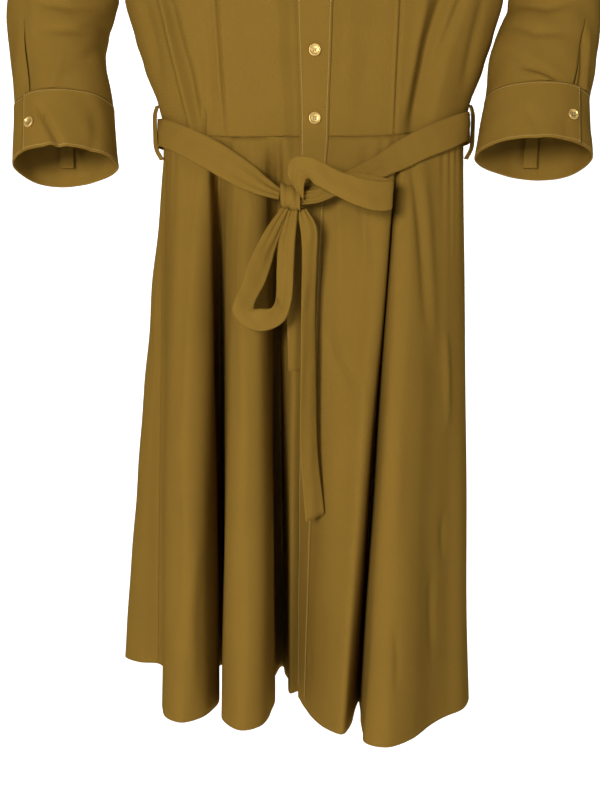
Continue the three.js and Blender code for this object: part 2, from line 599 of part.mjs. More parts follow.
const BOW_LOOP_RIGHT = [
  { at: [-32, -105, -512.1], half: [5, 1, -1.8] },
  { at: [-46, -112, -537], half: [8, 6, -4] },
  { at: [-57, -114, -557], half: [10, 8, -4] },
  { at: [-64, -117, -582], half: [12, 8, -4] },
  { at: [-73, -120, -606], half: [13, 6, -3] },
  { at: [-78, -122, -627], half: [10, 2, 5] },
  { at: [-62, -123, -637], half: [2, 1, 11] },
  { at: [-44, -120, -631], half: [-5, 1, 10] },
  { at: [-35, -115, -610], half: [-8, 2, 3] },
  { at: [-35, -112, -580], half: [-8, 2, 0] },
  { at: [-33, -110, -550], half: [-8, 2, 0] },
  { at: [-25, -108, -524], half: [-5, 2, 0] },
];
const LONG_TAIL = [
  { at: [-13, -104, -515], half: [5, 1, 2] },
  { at: [-7, -106, -535], half: [9, 2, 3] },
  { at: [-6, -100, -570], half: [8, 4, 0] },
  { at: [-7, -95, -614], half: [8, 6, 0] },
  { at: [-7, -94, -700], half: [9, 7, 0] },
  { at: [-6, -95, -790], half: [10, 7, 0] },
  { at: [1, -97, -868], half: [11, 6, 4] },
];
const SHORT_TAIL = [
  { at: [-23, -98, -514.4], half: [5, 1, -1.2] },
  { at: [-24, -92, -560], half: [7, 3, 0] },
  { at: [-24, -88, -620], half: [8, 3, 0] },
  { at: [-22, -86, -697], half: [8, 3, 0] },
];
const BELT = {
  run_right: BELT_RUN_RIGHT,
  run_left: BELT_RUN_LEFT,
  bow_left: BOW_LOOP_LEFT,
  bow_right: BOW_LOOP_RIGHT,
  tail_long: LONG_TAIL,
  tail_short: SHORT_TAIL,
};
for (const [name, rows] of Object.entries(BELT)) addPiece(`belt_${name}`, strapOf(rows));

// The knot is a turn of the strap round the others.
const KNOT = { x: -28, y: -103, z: -499, high: 13, deep: 11, half: 11, slope: -0.35 };
function knot(turn, across) {
  const off = across * KNOT.half;
  const z = KNOT.z + KNOT.slope * off + KNOT.high * sin(radians(turn));
  return vec(KNOT.x + off, KNOT.y - KNOT.deep * cos(radians(turn)), z);
}
const knotTurns = steps(0, 360, 12).slice(0, -1);
addPiece('belt_knot', clothWall(knot, knotTurns, [-1, 0, 1], { thick: BELT_THICK, closed: true }));

// ---- Belt loops, at the side seams ----
const LOOP_LINE = [
  { out: 192.2, z: -379 },
  { out: 194.6, z: -389 },
  { out: 194.8, z: -410 },
  { out: 193.4, z: -430 },
  { out: 186.5, z: -442 },
];
const LEFT_LOOP_RISE = 1;
const LOOP_TURN = 1.6;
for (const { name, side } of SIDES) {
  const rise = side > 0 ? LEFT_LOOP_RISE : 0;
  const half = [side * LOOP_TURN, LOOP_WIDE / 2, 0];
  const rows = LOOP_LINE.map(({ out, z }) => ({ at: [side * out, 0, z + rise], half }));
  addPiece(`belt_loop_${name}`, strapOf(rows, CLOTH));
}

export default dress;
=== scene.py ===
"""A shirt dress in crepe, with a collar, a button front, cuffed sleeves and a tied belt.

The pieces are thin cloth on the forms of the frame's solids, with their creases, stitching and buttons.
Sizes in the tables are millimetres in the row frame: +X is the wearer's left and the front faces -Y.
"""

import math

import bmesh
import bpy
import numpy as np
from mathutils import Matrix, Vector


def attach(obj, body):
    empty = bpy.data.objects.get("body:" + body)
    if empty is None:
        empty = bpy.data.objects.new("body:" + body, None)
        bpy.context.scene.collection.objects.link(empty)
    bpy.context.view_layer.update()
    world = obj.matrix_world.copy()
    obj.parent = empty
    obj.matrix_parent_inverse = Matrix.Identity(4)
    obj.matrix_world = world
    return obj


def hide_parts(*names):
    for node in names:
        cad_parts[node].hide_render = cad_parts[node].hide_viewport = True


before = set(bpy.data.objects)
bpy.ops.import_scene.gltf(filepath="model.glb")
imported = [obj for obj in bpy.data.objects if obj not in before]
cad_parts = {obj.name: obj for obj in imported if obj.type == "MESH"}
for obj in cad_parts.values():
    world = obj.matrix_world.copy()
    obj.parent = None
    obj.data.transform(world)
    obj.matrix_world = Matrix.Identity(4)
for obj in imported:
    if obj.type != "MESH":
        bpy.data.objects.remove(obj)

bl_info = {
    "name": "Shirt dress",
    "version": (1, 0, 0),
    "blender": (4, 5, 0),
    "location": "3D View > Sidebar > Shirt dress",
    "description": "Builds a belted crepe shirt dress, piece by piece",
    "category": "Add Mesh",
}

MM = 0.001

# ---- Sizes shared with the solids ----
WAIST_GAP = 0.1
WAIST_Z = -425
HEM_Z = -1110
HEM_UP = 22
BAND_HEM_UP = 20
NECK_FRONT_Z = -85
NECK_BACK_Z = -18
ARMPIT_Z = -235
SHOULDER_TIP_Z = -42
WAIST_HALF = 182
WAIST_FRONT = 68
WAIST_BACK = 66
NECK_HALF = 85
SHOULDER_HALF = 198
UNDERLAP = 3.2
LEFT_WAIST_RISE = 38
RIGHT_WAIST_RISE = 12
BELT_HALF = 17.5
BELT_FACED = 0.85
BELT_SIDE = 190.4
BELT_BACK_DEEP = 73.5
BELT_BACK_Z = -405
BELT_BACK_DROP = 6
BELT_BACK_SAG = 3
BELT_BACK_TRIM = 0.3

# ---- Skirt folds: turn at the waist, place at the hem, how soon it gets there, and the underlap ----
FOLDS = [
    # name, turn, x, y, soon, inward
    ("under edge", 5, -12, -2, 1.0, UNDERLAP),
    ("under middle", -2, -20, -7, 1.0, UNDERLAP),
    ("under crease", -7.5, -29, -15, 1.0, UNDERLAP),
    ("valley 2", -11, -33, 44, 1.0, 0),
    ("valley 2", -13.5, -41, 86, 0.75, 0),
    ("valley 2", -16, -50, 56, 0.8, 0),
    ("fold 3", -19, -49, -60, 0.9, 0),
    ("fold 3", -22, -63, -119, 0.9, 0),
    ("fold 3", -26, -85, -131, 0.9, 0),
    ("fold 3", -30, -107, -104, 0.9, 0),
    ("fold 3", -33, -113, -20, 0.8, 0),
    ("valley 1", -35.5, -118, 68, 0.65, 0),
    ("valley 1", -38, -124, 93, 0.6, 0),
    ("valley 1", -40.5, -130, 68, 0.65, 0),
    ("fold 2", -44, -118, -32, 0.8, 0),
    ("fold 2", -49, -132, -90, 0.9, 0),
    ("fold 2", -55, -156, -109, 0.9, 0),
    ("fold 2", -63, -180, -86, 0.85, 0),
    ("fold 2", -72, -189, -20, 0.7, 0),
    ("side valley", -81, -197, 70, 0.8, 0),
    ("right side seam", -88, -212, 98, 0.85, 0),
    ("side lobe", -94, -238, 104, 0.85, 0),
    ("side lobe", -101, -262, 128, 0.85, 0),
    ("side lobe", -110, -246, 160, 0.85, 0),
    ("back valley", -121, -204, 138, 0.85, 0),
    ("back lobe", -133, -160, 174, 0.9, 0),
    ("back valley", -146, -112, 130, 0.8, 0),
    ("back lobe", -160, -60, 170, 0.9, 0),
    ("back valley", -175, -8, 126, 0.8, 0),
    ("back lobe", -190, 46, 166, 0.9, 0),
    ("back valley", -205, 96, 116, 0.8, 0),
    ("back lobe", -220, 146, 150, 0.9, 0),
    ("back valley", -237, 172, 88, 0.85, 0),
    ("side lobe", -254, 199, 66, 0.9, 0),
    ("left side seam", -268, 190, 18, 1.0, 0),
    ("left side", -278, 194, -32, 1.2, 0),
    ("fold 5", -288, 180, -66, 1.0, 0),
    ("fold 5", -298, 158, -90, 1.0, 0),
    ("fold 5", -307, 134, -118, 1.0, 0),
    ("fold 5", -314, 110, -157, 1.0, 0),
    ("fold 5", -319, 80, -178, 0.95, 0),
    ("fold 5", -322.5, 58, -168, 0.95, 0),
    ("fold 5", -324.5, 54, -136, 0.9, 0),
    ("valley 3", -326, 56, -40, 0.72, 0),
    ("fold 4", -328, 39, -128, 0.9, 0),
    ("fold 4", -333, 31, -143, 0.95, 0),
    ("fold 4", -340, 14, -128, 1.1, 0),
    ("fold 4", -348, -1, -96, 1.0, 0),
    ("band seam", -354.7, -11, -62, 0.75, 0),
    ("band edge", -365.2, -19, -24, 0.9, 0),
]
FOLD_NAMES = [row[0] for row in FOLDS]
FOLD_TURN, FOLD_X, FOLD_Y, FOLD_SOON, FOLD_INWARD = np.array([row[1:] for row in FOLDS], float).T
RIGHT_SIDE = FOLD_NAMES.index("right side seam")
LEFT_SIDE = FOLD_NAMES.index("left side seam")
BAND_SEAM = FOLD_NAMES.index("band seam")
BAND_EDGE = len(FOLDS) - 1
SEAM_STEP = 0.004

# ---- Bodice: height, half width, front and back depth, and the armhole's front and back edges ----
BODICE = np.array(
    [
        # z, half, front, back, arm front, arm back
        (-426, 182, 68, 66, 0, 0),
        (-400, 183.5, 70, 67, 0, 0),
        (-380, 188.5, 72, 68, 0, 0),
        (-332, 206, 77, 71, 0, 0),
        (-300, 216, 80, 73, 0, 0),
        (-256, 228, 81, 75, 0, 0),
        (-235, 231, 80, 76, 0, 0),
        (-215, 214, 78, 76, 24, 22),
        (-180, 196, 74, 76, 36, 36),
        (-140, 187, 68, 74, 36, 40),
        (-90, 189, 56, 68, 22, 30),
        (-42, 198, 46, 60, -3, 6),
        (0, 198, 40, 52, -8, 8),
    ],
    float,
)
HALF, FRONT, BACK, ARM_FRONT, ARM_BACK = 1, 2, 3, 4, 5
SHOULDER_Y = 4
NECK_SIDE_Y = 8
SHOULDER_PART = 0.2
BAND_TURN = 5.2
RIGHT_FRONT_TURN = 5
BAND_GAP = 0.05
BAND_WAIST_STEP = 0.004
BAND_COLUMNS = 14
BAND_ROWS_ABOVE = 90
BAND_ROWS_BELOW = 130
SIDE_TRIM = 0.1
SHOULDER_TRIM = 0.001
ARMPIT_UP = (ARMPIT_Z - WAIST_Z) / (SHOULDER_TIP_Z - WAIST_Z)

# ---- Sleeves: outer and inner points, the middle's y, half the depth and the pitch of each ring ----
RIGHT_SLEEVE = [
    # out x, out z, in x, in z, y, deep, pitch
    (292, -108, 239, -242, 5, 68, 0),
    (345, -178, 240, -250, 10, 62, 4),
    (371, -254, 243.5, -262, 12, 57, 9),
    (366, -322, 252, -312, -4, 53, 14),
    (357, -388, 241, -384, -24, 50, 17),
]
RIGHT_CUFF_END = (355, -458, 233, -456, -44, 55, 18)
LEFT_SLEEVE = [
    (285, -112, 238, -242, 5, 68, 0),
    (327, -182, 237, -250, 10, 62, 4),
    (348, -254, 236, -262, 14, 57, 9),
    (342, -322, 215, -312, -4, 54, 14),
    (328, -380, 205, -376, -24, 51, 17),
]
LEFT_CUFF_END = (327, -450, 190, -446, -44, 56, 18)
CUFF_SKEW = 0.28
CUFF_UNDER_END = 78
CUFF_RUN = 388
CUFF_STAND = 2.7
CUFF_RISE_FROM = 318
CUFF_RISE_OVER = 38
CUFF_TOP_GAP = 0.004
CUFF_BUTTON_RUN = 377
SLIT_TURN = 57
SLIT_FROM = 0.72
SLEEVE_END = 0.9995
SLEEVE_ROWS = 120
TAB_ROWS = [
    # share from end to top, y, z
    (1, 36.5, -338),
    (0.4, 15, -398),
    (0.1, 6, -430),
    (0, 2, -452),
]
TAB_HALF = 8.5
SIDES = {
    # side, rings, cuff end, tab top x, tab end x, tab back, armhole relief
    "right": (-1, RIGHT_SLEEVE, RIGHT_CUFF_END, -309, -304, 4, 0.6),
    "left": (1, LEFT_SLEEVE, LEFT_CUFF_END, 281, 266, 3, 0.6),
}

# ---- Collar ----
STAND_HIGH = 28
STAND_LEAN = 6
STAND_FOOT = 2.2
STAND_LAP = 10.8
FALL_START = 5
FALL_FOOT = 3
FALL_OFF = 4.2
FALL_POINT_ACROSS = 0.24
FALL_POINT_UP = 0.845
FALL_BACK_UP = 0.925
FALL_SIDE_ACROSS = 0.57
FALL_SIDE_UP = 1 - 0.003
SHOULDER_SHARE = 0.15
SHOULDER_LIFT = 2
ROLL_OUT = 3
ROLL_UP = 16

# ---- Belt stretches: the middle and the half width as a direction ----
BELT = {
    "run_right": [
        ((-190.4, -0.7, -411), (0, 0, 17.5)),
        ((-183, -26, -414), (3, 0, 16)),
        ((-162, -43, -423), (6, 0, 15.5)),
        ((-129, -58, -440), (8, 1, 15.5)),
        ((-100, -68, -458), (9, 1, 14.5)),
        ((-77, -77, -473), (9, 1, 12)),
        ((-58, -86, -485), (6, 1, 8.5)),
        ((-40.0, -94, -494), (1, 0, 6)),
    ],
    "run_left": [
        ((190.4, -1, -405), (0, 0, 17.5)),
        ((184, -26, -407), (0, 0, 17.5)),
        ((156, -46, -419), (-5, 0, 17)),
        ((127, -59, -432), (-6, 0, 16)),
        ((101, -68, -446), (-7, 0, 14.5)),
        ((78, -76, -459), (-6, 0, 12)),
        ((52, -83, -472), (-4, 0, 11)),
        ((22, -88, -483), (-1, 0, 11)),
        ((-17, -94, -492), (0, 0, 8)),
    ],
    "bow_left": [
        ((-19, -109, -495), (-5, 1, 7)),
        ((-22, -117, -478), (-10, 0, 5)),
        ((-17, -124, -469), (-9, -2, 11)),
        ((-2, -128, -472), (-1, -2, 14.5)),
        ((24, -128, -485), (2, 0, 13.5)),
        ((48, -127, -494), (3, 0, 15)),
        ((70, -122, -498.5), (2, 0, 16.5)),
        ((87, -113, -496.5), (1, 0, 16.5)),
        ((83, -103, -494), (1, 0, 16)),
        ((58, -100, -486), (2, 0, 14)),
        ((30, -100, -483), (0, 0, 12)),
        ((5, -101, -496), (0, 0, 8)),
        ((-17.5, -103, -500), (0, 0, 7)),
    ],
    "bow_right": [
        ((-32, -105, -510.5), (5, 1, -1.8)),
        ((-47, -112, -539), (8, 6, -3)),
        ((-55, -114, -556), (10, 7, -2)),
        ((-63, -117, -577), (12.5, 6, -1)),
        ((-70, -119, -597), (12.5, 5, 0)),
        ((-79, -121, -616), (12, 4, 1)),
        ((-81, -122, -625.5), (12, 1, 2)),
        ((-71, -124, -634), (9, -1, 10)),
        ((-53, -123, -636), (5, -1, 13)),
        ((-40, -120, -627), (-4, 0, 12)),
        ((-35.5, -116, -612), (-8.5, 2, 4)),
        ((-34, -112, -577), (-9.5, 2, 1)),
        ((-32, -110, -548), (-9, 2, 0)),
        ((-25, -108, -513), (-5, 2, 0)),
    ],
    "tail_long": [
        ((-15, -104, -513), (5, 1, 2)),
        ((-7, -106, -535), (9, 2, 3)),
        ((-6, -100, -570), (8, 4, 0)),
        ((-7, -95, -614), (8, 6, 0)),
        ((-7, -94, -700), (9, 7, 0)),
        ((-6, -95, -790), (10, 7, 0)),
        ((1, -97, -868), (11, 6, 4)),
    ],
    "tail_short": [
        ((-23, -98, -513), (5, 1, -1.2)),
        ((-24, -92, -560), (7, 3, 0)),
        ((-24, -88, -620), (8, 3, 0)),
        ((-22, -86, -697), (8, 3, 0)),
    ],
}
KNOT = {"x": -28, "y": -103, "z": -499, "high": 13, "deep": 11, "half": 11, "slope": -0.35}
LOOP_LINE = [(190.8, -378), (193.8, -388), (194.0, -410), (192.6, -430), (186.0, -443)]
LOOP_HALF = 3.4
LEFT_LOOP_RISE = 1
LOOP_TURN = 2.6

# ---- Buttons, and how far in from an edge the topstitches run ----
BUTTON_RADIUS = 7
CUFF_BUTTON_RADIUS = 6.5
BAND_INSET = 2.6
CUFF_TOP_INSET = 2.2
CUFF_MOUTH_INSET = 2.6
CUFF_END_INSET = 2.4
COLLAR_INSET = 3.4
BODICE_BUTTONS = [-178, -254, -330, -406]
SKIRT_BUTTONS = [-484, -552, -628, -704, -780]

# ---- Creases, as seen from the front or back: points down their line, half width, height, and side ----
# A height above 0 is a ridge and below 0 a trough.
CREASES = {
    "front_right": [
        ([(-119, -180), (-112, -273), (-108, -344), (-102, -426)], 1.5, -3.2),
        ([(-122, -180), (-116, -273), (-112, -344), (-106, -426)], 2.6, 1.6),
        ([(-190, -235), (-177, -273), (-168, -311), (-159, -349), (-147, -401), (-142, -423)], 3.6, 5.0),
        ([(-180, -235), (-168, -273), (-158, -311), (-148, -349), (-139, -395), (-133, -423)], 6, -6.5),
        ([(-130, -388), (-132, -426)], 2.6, -4.0),
        ([(-128, -290), (-124, -364), (-121, -410)], 7, -3.4),
        ([(-70, -150), (-80, -230), (-76, -310), (-62, -380)], 16, -2.2),
        ([(-40, -250), (-46, -330), (-44, -410)], 12, 1.6),
        ([(-205, -250), (-192, -300), (-181, -360)], 7, -3.0),
        ([(-168, -120), (-182, -165), (-196, -210)], 8, -3.0),
    ],
    "front_left": [
        ([(99, -180), (95, -273), (92, -344), (90, -424)], 1.6, 2.2),
        ([(103, -180), (99, -273), (96, -344), (94, -424)], 2.2, -2.2),
        ([(160, -235), (147, -273), (134, -318), (127, -356), (120, -394), (114, -424)], 10, -14),
        ([(180, -245), (168, -273), (145, -333), (129, -410)], 6, -5),
        ([(128, -235), (127, -273), (120, -318), (114, -356), (108, -394)], 6, 3.4),
        ([(60, -150), (70, -230), (66, -310), (58, -380)], 15, -2.0),
        ([(36, -260), (41, -330), (40, -410)], 10, 1.4),
        ([(201, -250), (188, -305), (178, -360)], 6.5, -3.0),
        ([(165, -118), (180, -165), (194, -210)], 8, -3.0),
    ],
    "back": [
        ([(-100, -200), (-98, -290), (-92, -424)], 1.8, -1.3),
        ([(98, -200), (96, -290), (90, -424)], 1.8, -1.3),
        ([(-180, -240), (-160, -300), (-146, -360), (-138, -420)], 8, -3.6),
        ([(176, -240), (158, -305), (142, -370), (134, -420)], 8, -3.6),
        ([(-150, -110), (-166, -160), (-190, -215)], 9, -3.2),
        ([(148, -112), (168, -165), (190, -215)], 9, -3.2),
        ([(-40, -120), (-30, -220), (-38, -330), (-30, -415)], 18, -2.4),
        ([(44, -140), (34, -240), (42, -340), (36, -415)], 16, -2.0),
        ([(-4, -90), (3, -200), (-2, -320)], 14, 1.6),
    ],
    "skirt_front_right": [
        ([(-140, -440), (-150, -520), (-158, -640), (-163, -760)], 8, -3.0),
        ([(-75, -450), (-80, -540), (-84, -660), (-80, -800)], 7, 2.2),
        ([(-92, -470), (-96, -560), (-98, -640)], 5, -2.0),
        ([(-165, -820), (-160, -900), (-166, -1000)], 9, -2.4),
        ([(-84, -880), (-90, -960), (-86, -1060)], 9, -2.2),
        ([(-140, -900), (-146, -980), (-143, -1080)], 7, 2.0),
    ],
    "skirt_front_left": [
        ([(115, -432), (115, -465), (122, -516), (127, -570), (130, -643)], 6, -3.4),
        ([(126, -450), (133, -520), (138, -600), (140, -680)], 7, 2.6),
        ([(11, -652), (26, -690), (42, -724)], 5, -2.8),
        ([(24, -640), (40, -682), (56, -722)], 6, 2.0),
        ([(155, -655), (158, -700), (160, -760)], 5, 2.8),
        ([(-12, -1000), (-8, -1030), (-4, -1060)], 4, -2.0),
        ([(91, -985), (93, -1015), (92, -1050)], 5, -2.0),
        ([(137, -930), (135, -975), (138, -1030)], 5, -2.2),
        ([(153, -870), (151, -890), (153, -920)], 5, -2.0),
        ([(100, -700), (104, -800), (100, -900)], 12, -2.4),
        ([(60, -440), (56, -500), (60, -580)], 6, -2.6),
        ([(30, -450), (28, -520), (31, -600)], 6, 1.8),
    ],
    "skirt_back": [
        ([(-130, -450), (-142, -560), (-150, -700)], 8, -3.0),
        ([(-40, -450), (-34, -560), (-40, -700)], 8, -2.8),
        ([(50, -450), (56, -560), (52, -700)], 8, -2.8),
        ([(125, -450), (136, -560), (142, -700)], 8, -3.0),
        ([(-100, -800), (-108, -920), (-104, -1040)], 9, 2.2),
        ([(20, -820), (26, -930), (20, -1050)], 9, 2.2),
    ],
    "sleeve_right": [
        ([(-250, -262), (-285, -272), (-320, -268)], 7, -4.2),
        ([(-248, -285), (-275, -300), (-312, -302)], 6, -3.4),
        ([(-252, -310), (-268, -334), (-292, -352)], 6, -3.0),
        ([(-262, -240), (-292, -222), (-318, -200)], 8, -3.4),
        ([(-345, -250), (-338, -310), (-330, -370)], 8, -2.6),
        ([(-300, -150), (-318, -190), (-332, -230)], 10, -3.0),
        ([(-292, -330), (-300, -360), (-306, -384)], 5, 2.2),
    ],
    "sleeve_left": [
        ([(240, -262), (272, -272), (304, -266)], 7, -4.2),
        ([(232, -288), (258, -304), (292, -304)], 6, -3.4),
        ([(225, -318), (246, -342), (270, -356)], 6, -3.0),
        ([(316, -300), (312, -345), (307, -384)], 3.6, -5.0),
        ([(322, -300), (318, -345), (314, -384)], 4.0, 2.4),
        ([(240, -344), (262, -350), (282, -362), (298, -380)], 3.8, -3.6),
        ([(246, -352), (264, -358), (280, -370)], 4, 2.4),
        ([(256, -240), (282, -222), (306, -202)], 8, -3.4),
        ([(288, -150), (304, -190), (316, -230)], 10, -3.0),
    ],
    "cuff_right": [
        ([(-318, -392), (-304, -414), (-290, -438), (-284, -458)], 3.6, -4.6),
        ([(-326, -392), (-312, -416), (-299, -440), (-293, -458)], 4.2, 2.6),
        ([(-256, -398), (-252, -430), (-256, -454)], 6, -2.2),
    ],
    "cuff_left": [
        ([(240, -390), (252, -415), (250, -444)], 6, -2.0),
        ([(300, -388), (288, -414), (284, -446)], 6, -1.8),
    ],
}


# ---- Smooth lines ----


def curve(points, places):
    """Points at places, 0 to 1, on a centripetal line through the given points."""
    points = np.asarray(points, float)
    last = len(points) - 1
    before = 2 * points[0] - points[1]
    after = 2 * points[-1] - points[-2]
    full = np.vstack([before, points, after])
    along = np.clip(np.asarray(places, float), 0, 1) * last
    cell = np.minimum(along.astype(int), last - 1)
    share = (along - cell)[:, None]
    p0, p1, p2, p3 = (full[cell + k] for k in range(4))
    gaps = [np.sum((b - a) ** 2, axis=1, keepdims=True) ** 0.25 for a, b in ((p0, p1), (p1, p2), (p2, p3))]
    gaps[1] = np.where(gaps[1] < 1e-4, 1, gaps[1])
    gaps[0] = np.where(gaps[0] < 1e-4, gaps[1], gaps[0])
    gaps[2] = np.where(gaps[2] < 1e-4, gaps[1], gaps[2])
    d0, d1, d2 = gaps
    t1 = ((p1 - p0) / d0 - (p2 - p0) / (d0 + d1) + (p2 - p1) / d1) * d1
    t2 = ((p2 - p1) / d1 - (p3 - p1) / (d1 + d2) + (p3 - p2) / d2) * d1
    c2 = -3 * p1 + 3 * p2 - 2 * t1 - t2
    c3 = 2 * p1 - 2 * p2 + t1 + t2
    return p1 + t1 * share + c2 * share**2 + c3 * share**3


def at_height(z, column):
    """The bodice table's value of a column at heights z."""
    z = np.asarray(z, float)
    rows = BODICE[:, 0]
    cell = np.clip(np.searchsorted(rows, z) - 1, 0, len(rows) - 2)
    share = np.clip((z - rows[cell]) / (rows[cell + 1] - rows[cell]), 0, 1)
    eased = share * share * (3 - 2 * share) * 0.4 + share * 0.6
    low, high = BODICE[cell, column], BODICE[cell + 1, column]
    return low + (high - low) * eased


def stacked(x, y, z):
    return np.stack(np.broadcast_arrays(x, y, z), axis=-1).astype(float)


def smooth(value, low, high):
    share = np.clip((value - low) / (high - low), 0, 1)
    return share * share * (3 - 2 * share)


# ---- Surfaces: each takes arrays u and v of one shape, rows by columns ----


def waist_height(turn):
    across = np.sin(np.radians(turn))
    return WAIST_Z + np.where(across > 0, LEFT_WAIST_RISE, RIGHT_WAIST_RISE) * across**4


def skirt(place, down):
    """The skirt: place counts the rows of FOLDS and down is 0 at the waist and 1 at the hem."""
    out = np.empty(place.shape + (3,))
    front = np.cos(np.radians(FOLD_TURN))
    deep = np.where(front > 0, WAIST_FRONT, WAIST_BACK)
    waist_x = (WAIST_HALF - FOLD_INWARD) * np.sin(np.radians(FOLD_TURN))
    waist_y = -(deep - FOLD_INWARD) * front
    waist_z = waist_height(FOLD_TURN) - WAIST_GAP
    for j in range(place.shape[0]):
        share = max(down[j, 0], 0) ** FOLD_SOON
        x = waist_x + (FOLD_X - waist_x) * share
        y = waist_y + (FOLD_Y - waist_y) * share
        z = waist_z + (HEM_Z - waist_z) * down[j, 0]
        out[j] = curve(stacked(x, y, z), place[j] / BAND_EDGE)
    return out


def neck_point(turn):
    front = np.cos(np.radians(turn))
    drop = np.where(front > 0, NECK_FRONT_Z, NECK_BACK_Z)
    reach = np.where(front > 0, NECK_SIDE_Y + 46, 44)
    across = NECK_HALF * np.sin(np.radians(turn))
    return stacked(across, NECK_SIDE_Y - reach * front, drop * np.abs(front) ** 1.15)


def bodice_top(x, facing):
    turn = np.degrees(np.arcsin(np.clip(x / NECK_HALF, -1, 1)))
    at_neck = neck_point(np.where(facing > 0, turn, 180 - turn))
    share = np.clip((np.abs(x) - NECK_HALF) / (SHOULDER_HALF - NECK_HALF), 0, 1)
    shoulder = stacked(x, NECK_SIDE_Y + (SHOULDER_Y - NECK_SIDE_Y) * share, SHOULDER_TIP_Z * share**1.1)
    top = np.where((np.abs(x) < NECK_HALF)[..., None], at_neck, shoulder)
    top[..., 1] -= facing * SHOULDER_PART
    return top


def bodice(turn, up):
    """The bodice: turn is 0 at the centre front and up is 0 at the waist and 1 at the neck and shoulders."""
    turn, up = np.broadcast_arrays(turn, up)
    facing = np.where(np.cos(np.radians(turn)) >= 0, 1, -1)
    low = waist_height(turn)
    across = np.sin(np.radians(turn))
    edge_z = low + (SHOULDER_TIP_Z - low) * up
    x = across * at_height(edge_z, HALF)
    top = bodice_top(across * SHOULDER_HALF, facing)
    z = low + WAIST_GAP + (top[..., 2] - low - WAIST_GAP) * up
    deep = np.where(facing > 0, at_height(z, FRONT), at_height(z, BACK))
    edge = np.where(facing > 0, at_height(edge_z, ARM_FRONT), at_height(edge_z, ARM_BACK))
    bow = edge + (deep - edge) * np.abs(np.cos(np.radians(turn)))
    y = -facing * bow
    y = y + (top[..., 1] - y) * np.clip(up, 0, None) ** 5
    return stacked(x, y, z)


def bodice_right(turn, up):
    point = bodice(turn, up)
    point[..., 1] += UNDERLAP * np.clip((turn + 11) / 3.5, 0, 1)
    return point


def band(across, down):
    """The button band: across is 0 at its free edge, down is -1 at the neck, 0 at the waist, 1 at the hem."""
    above = bodice(-BAND_TURN + (2 * BAND_TURN - BAND_GAP) * across, np.clip(-down, 0, 1))
    below = skirt(BAND_EDGE + (BAND_SEAM + SEAM_STEP - BAND_EDGE) * across, np.clip(down, 0, 1))
    return np.where((down < 0)[..., None], above, below)


def ring_point(ring, turn, skew=0.0):
    out_x, out_z, in_x, in_z, y, deep, pitch = ring
    turn = np.asarray(turn, float)
    out = (1 + np.cos(np.radians(turn))) / 2
    s = np.sin(np.radians(turn))
    forward = s * deep * (1 + np.where(s < 0, skew * np.cos(np.radians(turn)), 0))
    lift = forward * math.sin(math.radians(pitch))
    back = y - forward * math.cos(math.radians(pitch))
    return stacked(in_x + (out_x - in_x) * out, back, in_z + (out_z - in_z) * out + lift)


def armhole_point(turn, relief):
    bodice_turn = 90 - SIDE_TRIM if math.sin(math.radians(turn)) >= 0 else 90 + SIDE_TRIM
    up = ARMPIT_UP + (1 - ARMPIT_UP) * (1 + math.cos(math.radians(turn))) / 2
    edge = bodice(np.array([bodice_turn]), np.array([min(up, 1 - SHOULDER_TRIM)]))[0]
    edge[0] += relief
    return edge


def sleeve_of(side_name):
    side, rings, _end, _top, _bottom, _back, relief = SIDES[side_name]

    def sleeve(turn, along):
        out = np.empty(turn.shape + (3,))
        for i in range(turn.shape[1]):
            at = turn[0, i]
            points = [armhole_point(at, relief)] + [ring_point(ring, at) for ring in rings]
            out[:, i] = curve(points, along[:, i])
        out[..., 0] *= side
        return out

    return sleeve


def cuff_of(side_name):
    side, rings, end, _top, _bottom, _back, _relief = SIDES[side_name]
    top = rings[-1]

    def cuff(run, along):
        turn = CUFF_UNDER_END - run
        past = np.clip((run - CUFF_RISE_FROM) / CUFF_RISE_OVER, 0, 1)
        low, high = ring_point(end, turn, CUFF_SKEW), ring_point(top, turn)
        point = high + (low - high) * along[..., None]
        middle = (ring_point(top, 0) + ring_point(top, 180)) / 2
        away = point - middle
        away[..., 2] = 0
        away /= np.linalg.norm(away, axis=-1, keepdims=True)
        point = point + away * (CUFF_STAND * past * past * (3 - 2 * past))[..., None]
        point[..., 0] *= side
        return point

    return cuff


def strap_of(rows):
    middle = [row[0] for row in rows]
    half = [row[1] for row in rows]

    def strap(u, v):
        centre = curve(middle, v[:, 0])
        across = curve(half, v[:, 0])
        return centre[:, None] + across[:, None] * u[..., None]

    return strap


def stand(turn, up, underlap=UNDERLAP):
    point = neck_point(turn)
    inward = stacked(-point[..., 0], NECK_SIDE_Y - point[..., 1], 0)
    inward /= np.linalg.norm(inward, axis=-1, keepdims=True)
    under = np.clip((turn - 340) / 8, 0, 1)
    point = point + inward * (STAND_LEAN * up + underlap * under)[..., None]
    point[..., 2] += STAND_FOOT + STAND_HIGH * up
    return point


def bodice_outward(turn, up):
    step = 1e-3
    along = bodice(turn + step, up) - bodice(turn - step, up)
    down = bodice(turn, up + step) - bodice(turn, up - step)
    normal = np.cross(along, down)
    normal /= np.linalg.norm(normal, axis=-1, keepdims=True)
    facing = np.where(np.cos(np.radians(turn)) >= 0, -1, 1)
    return normal * np.sign(normal[..., 1] * facing)[..., None]


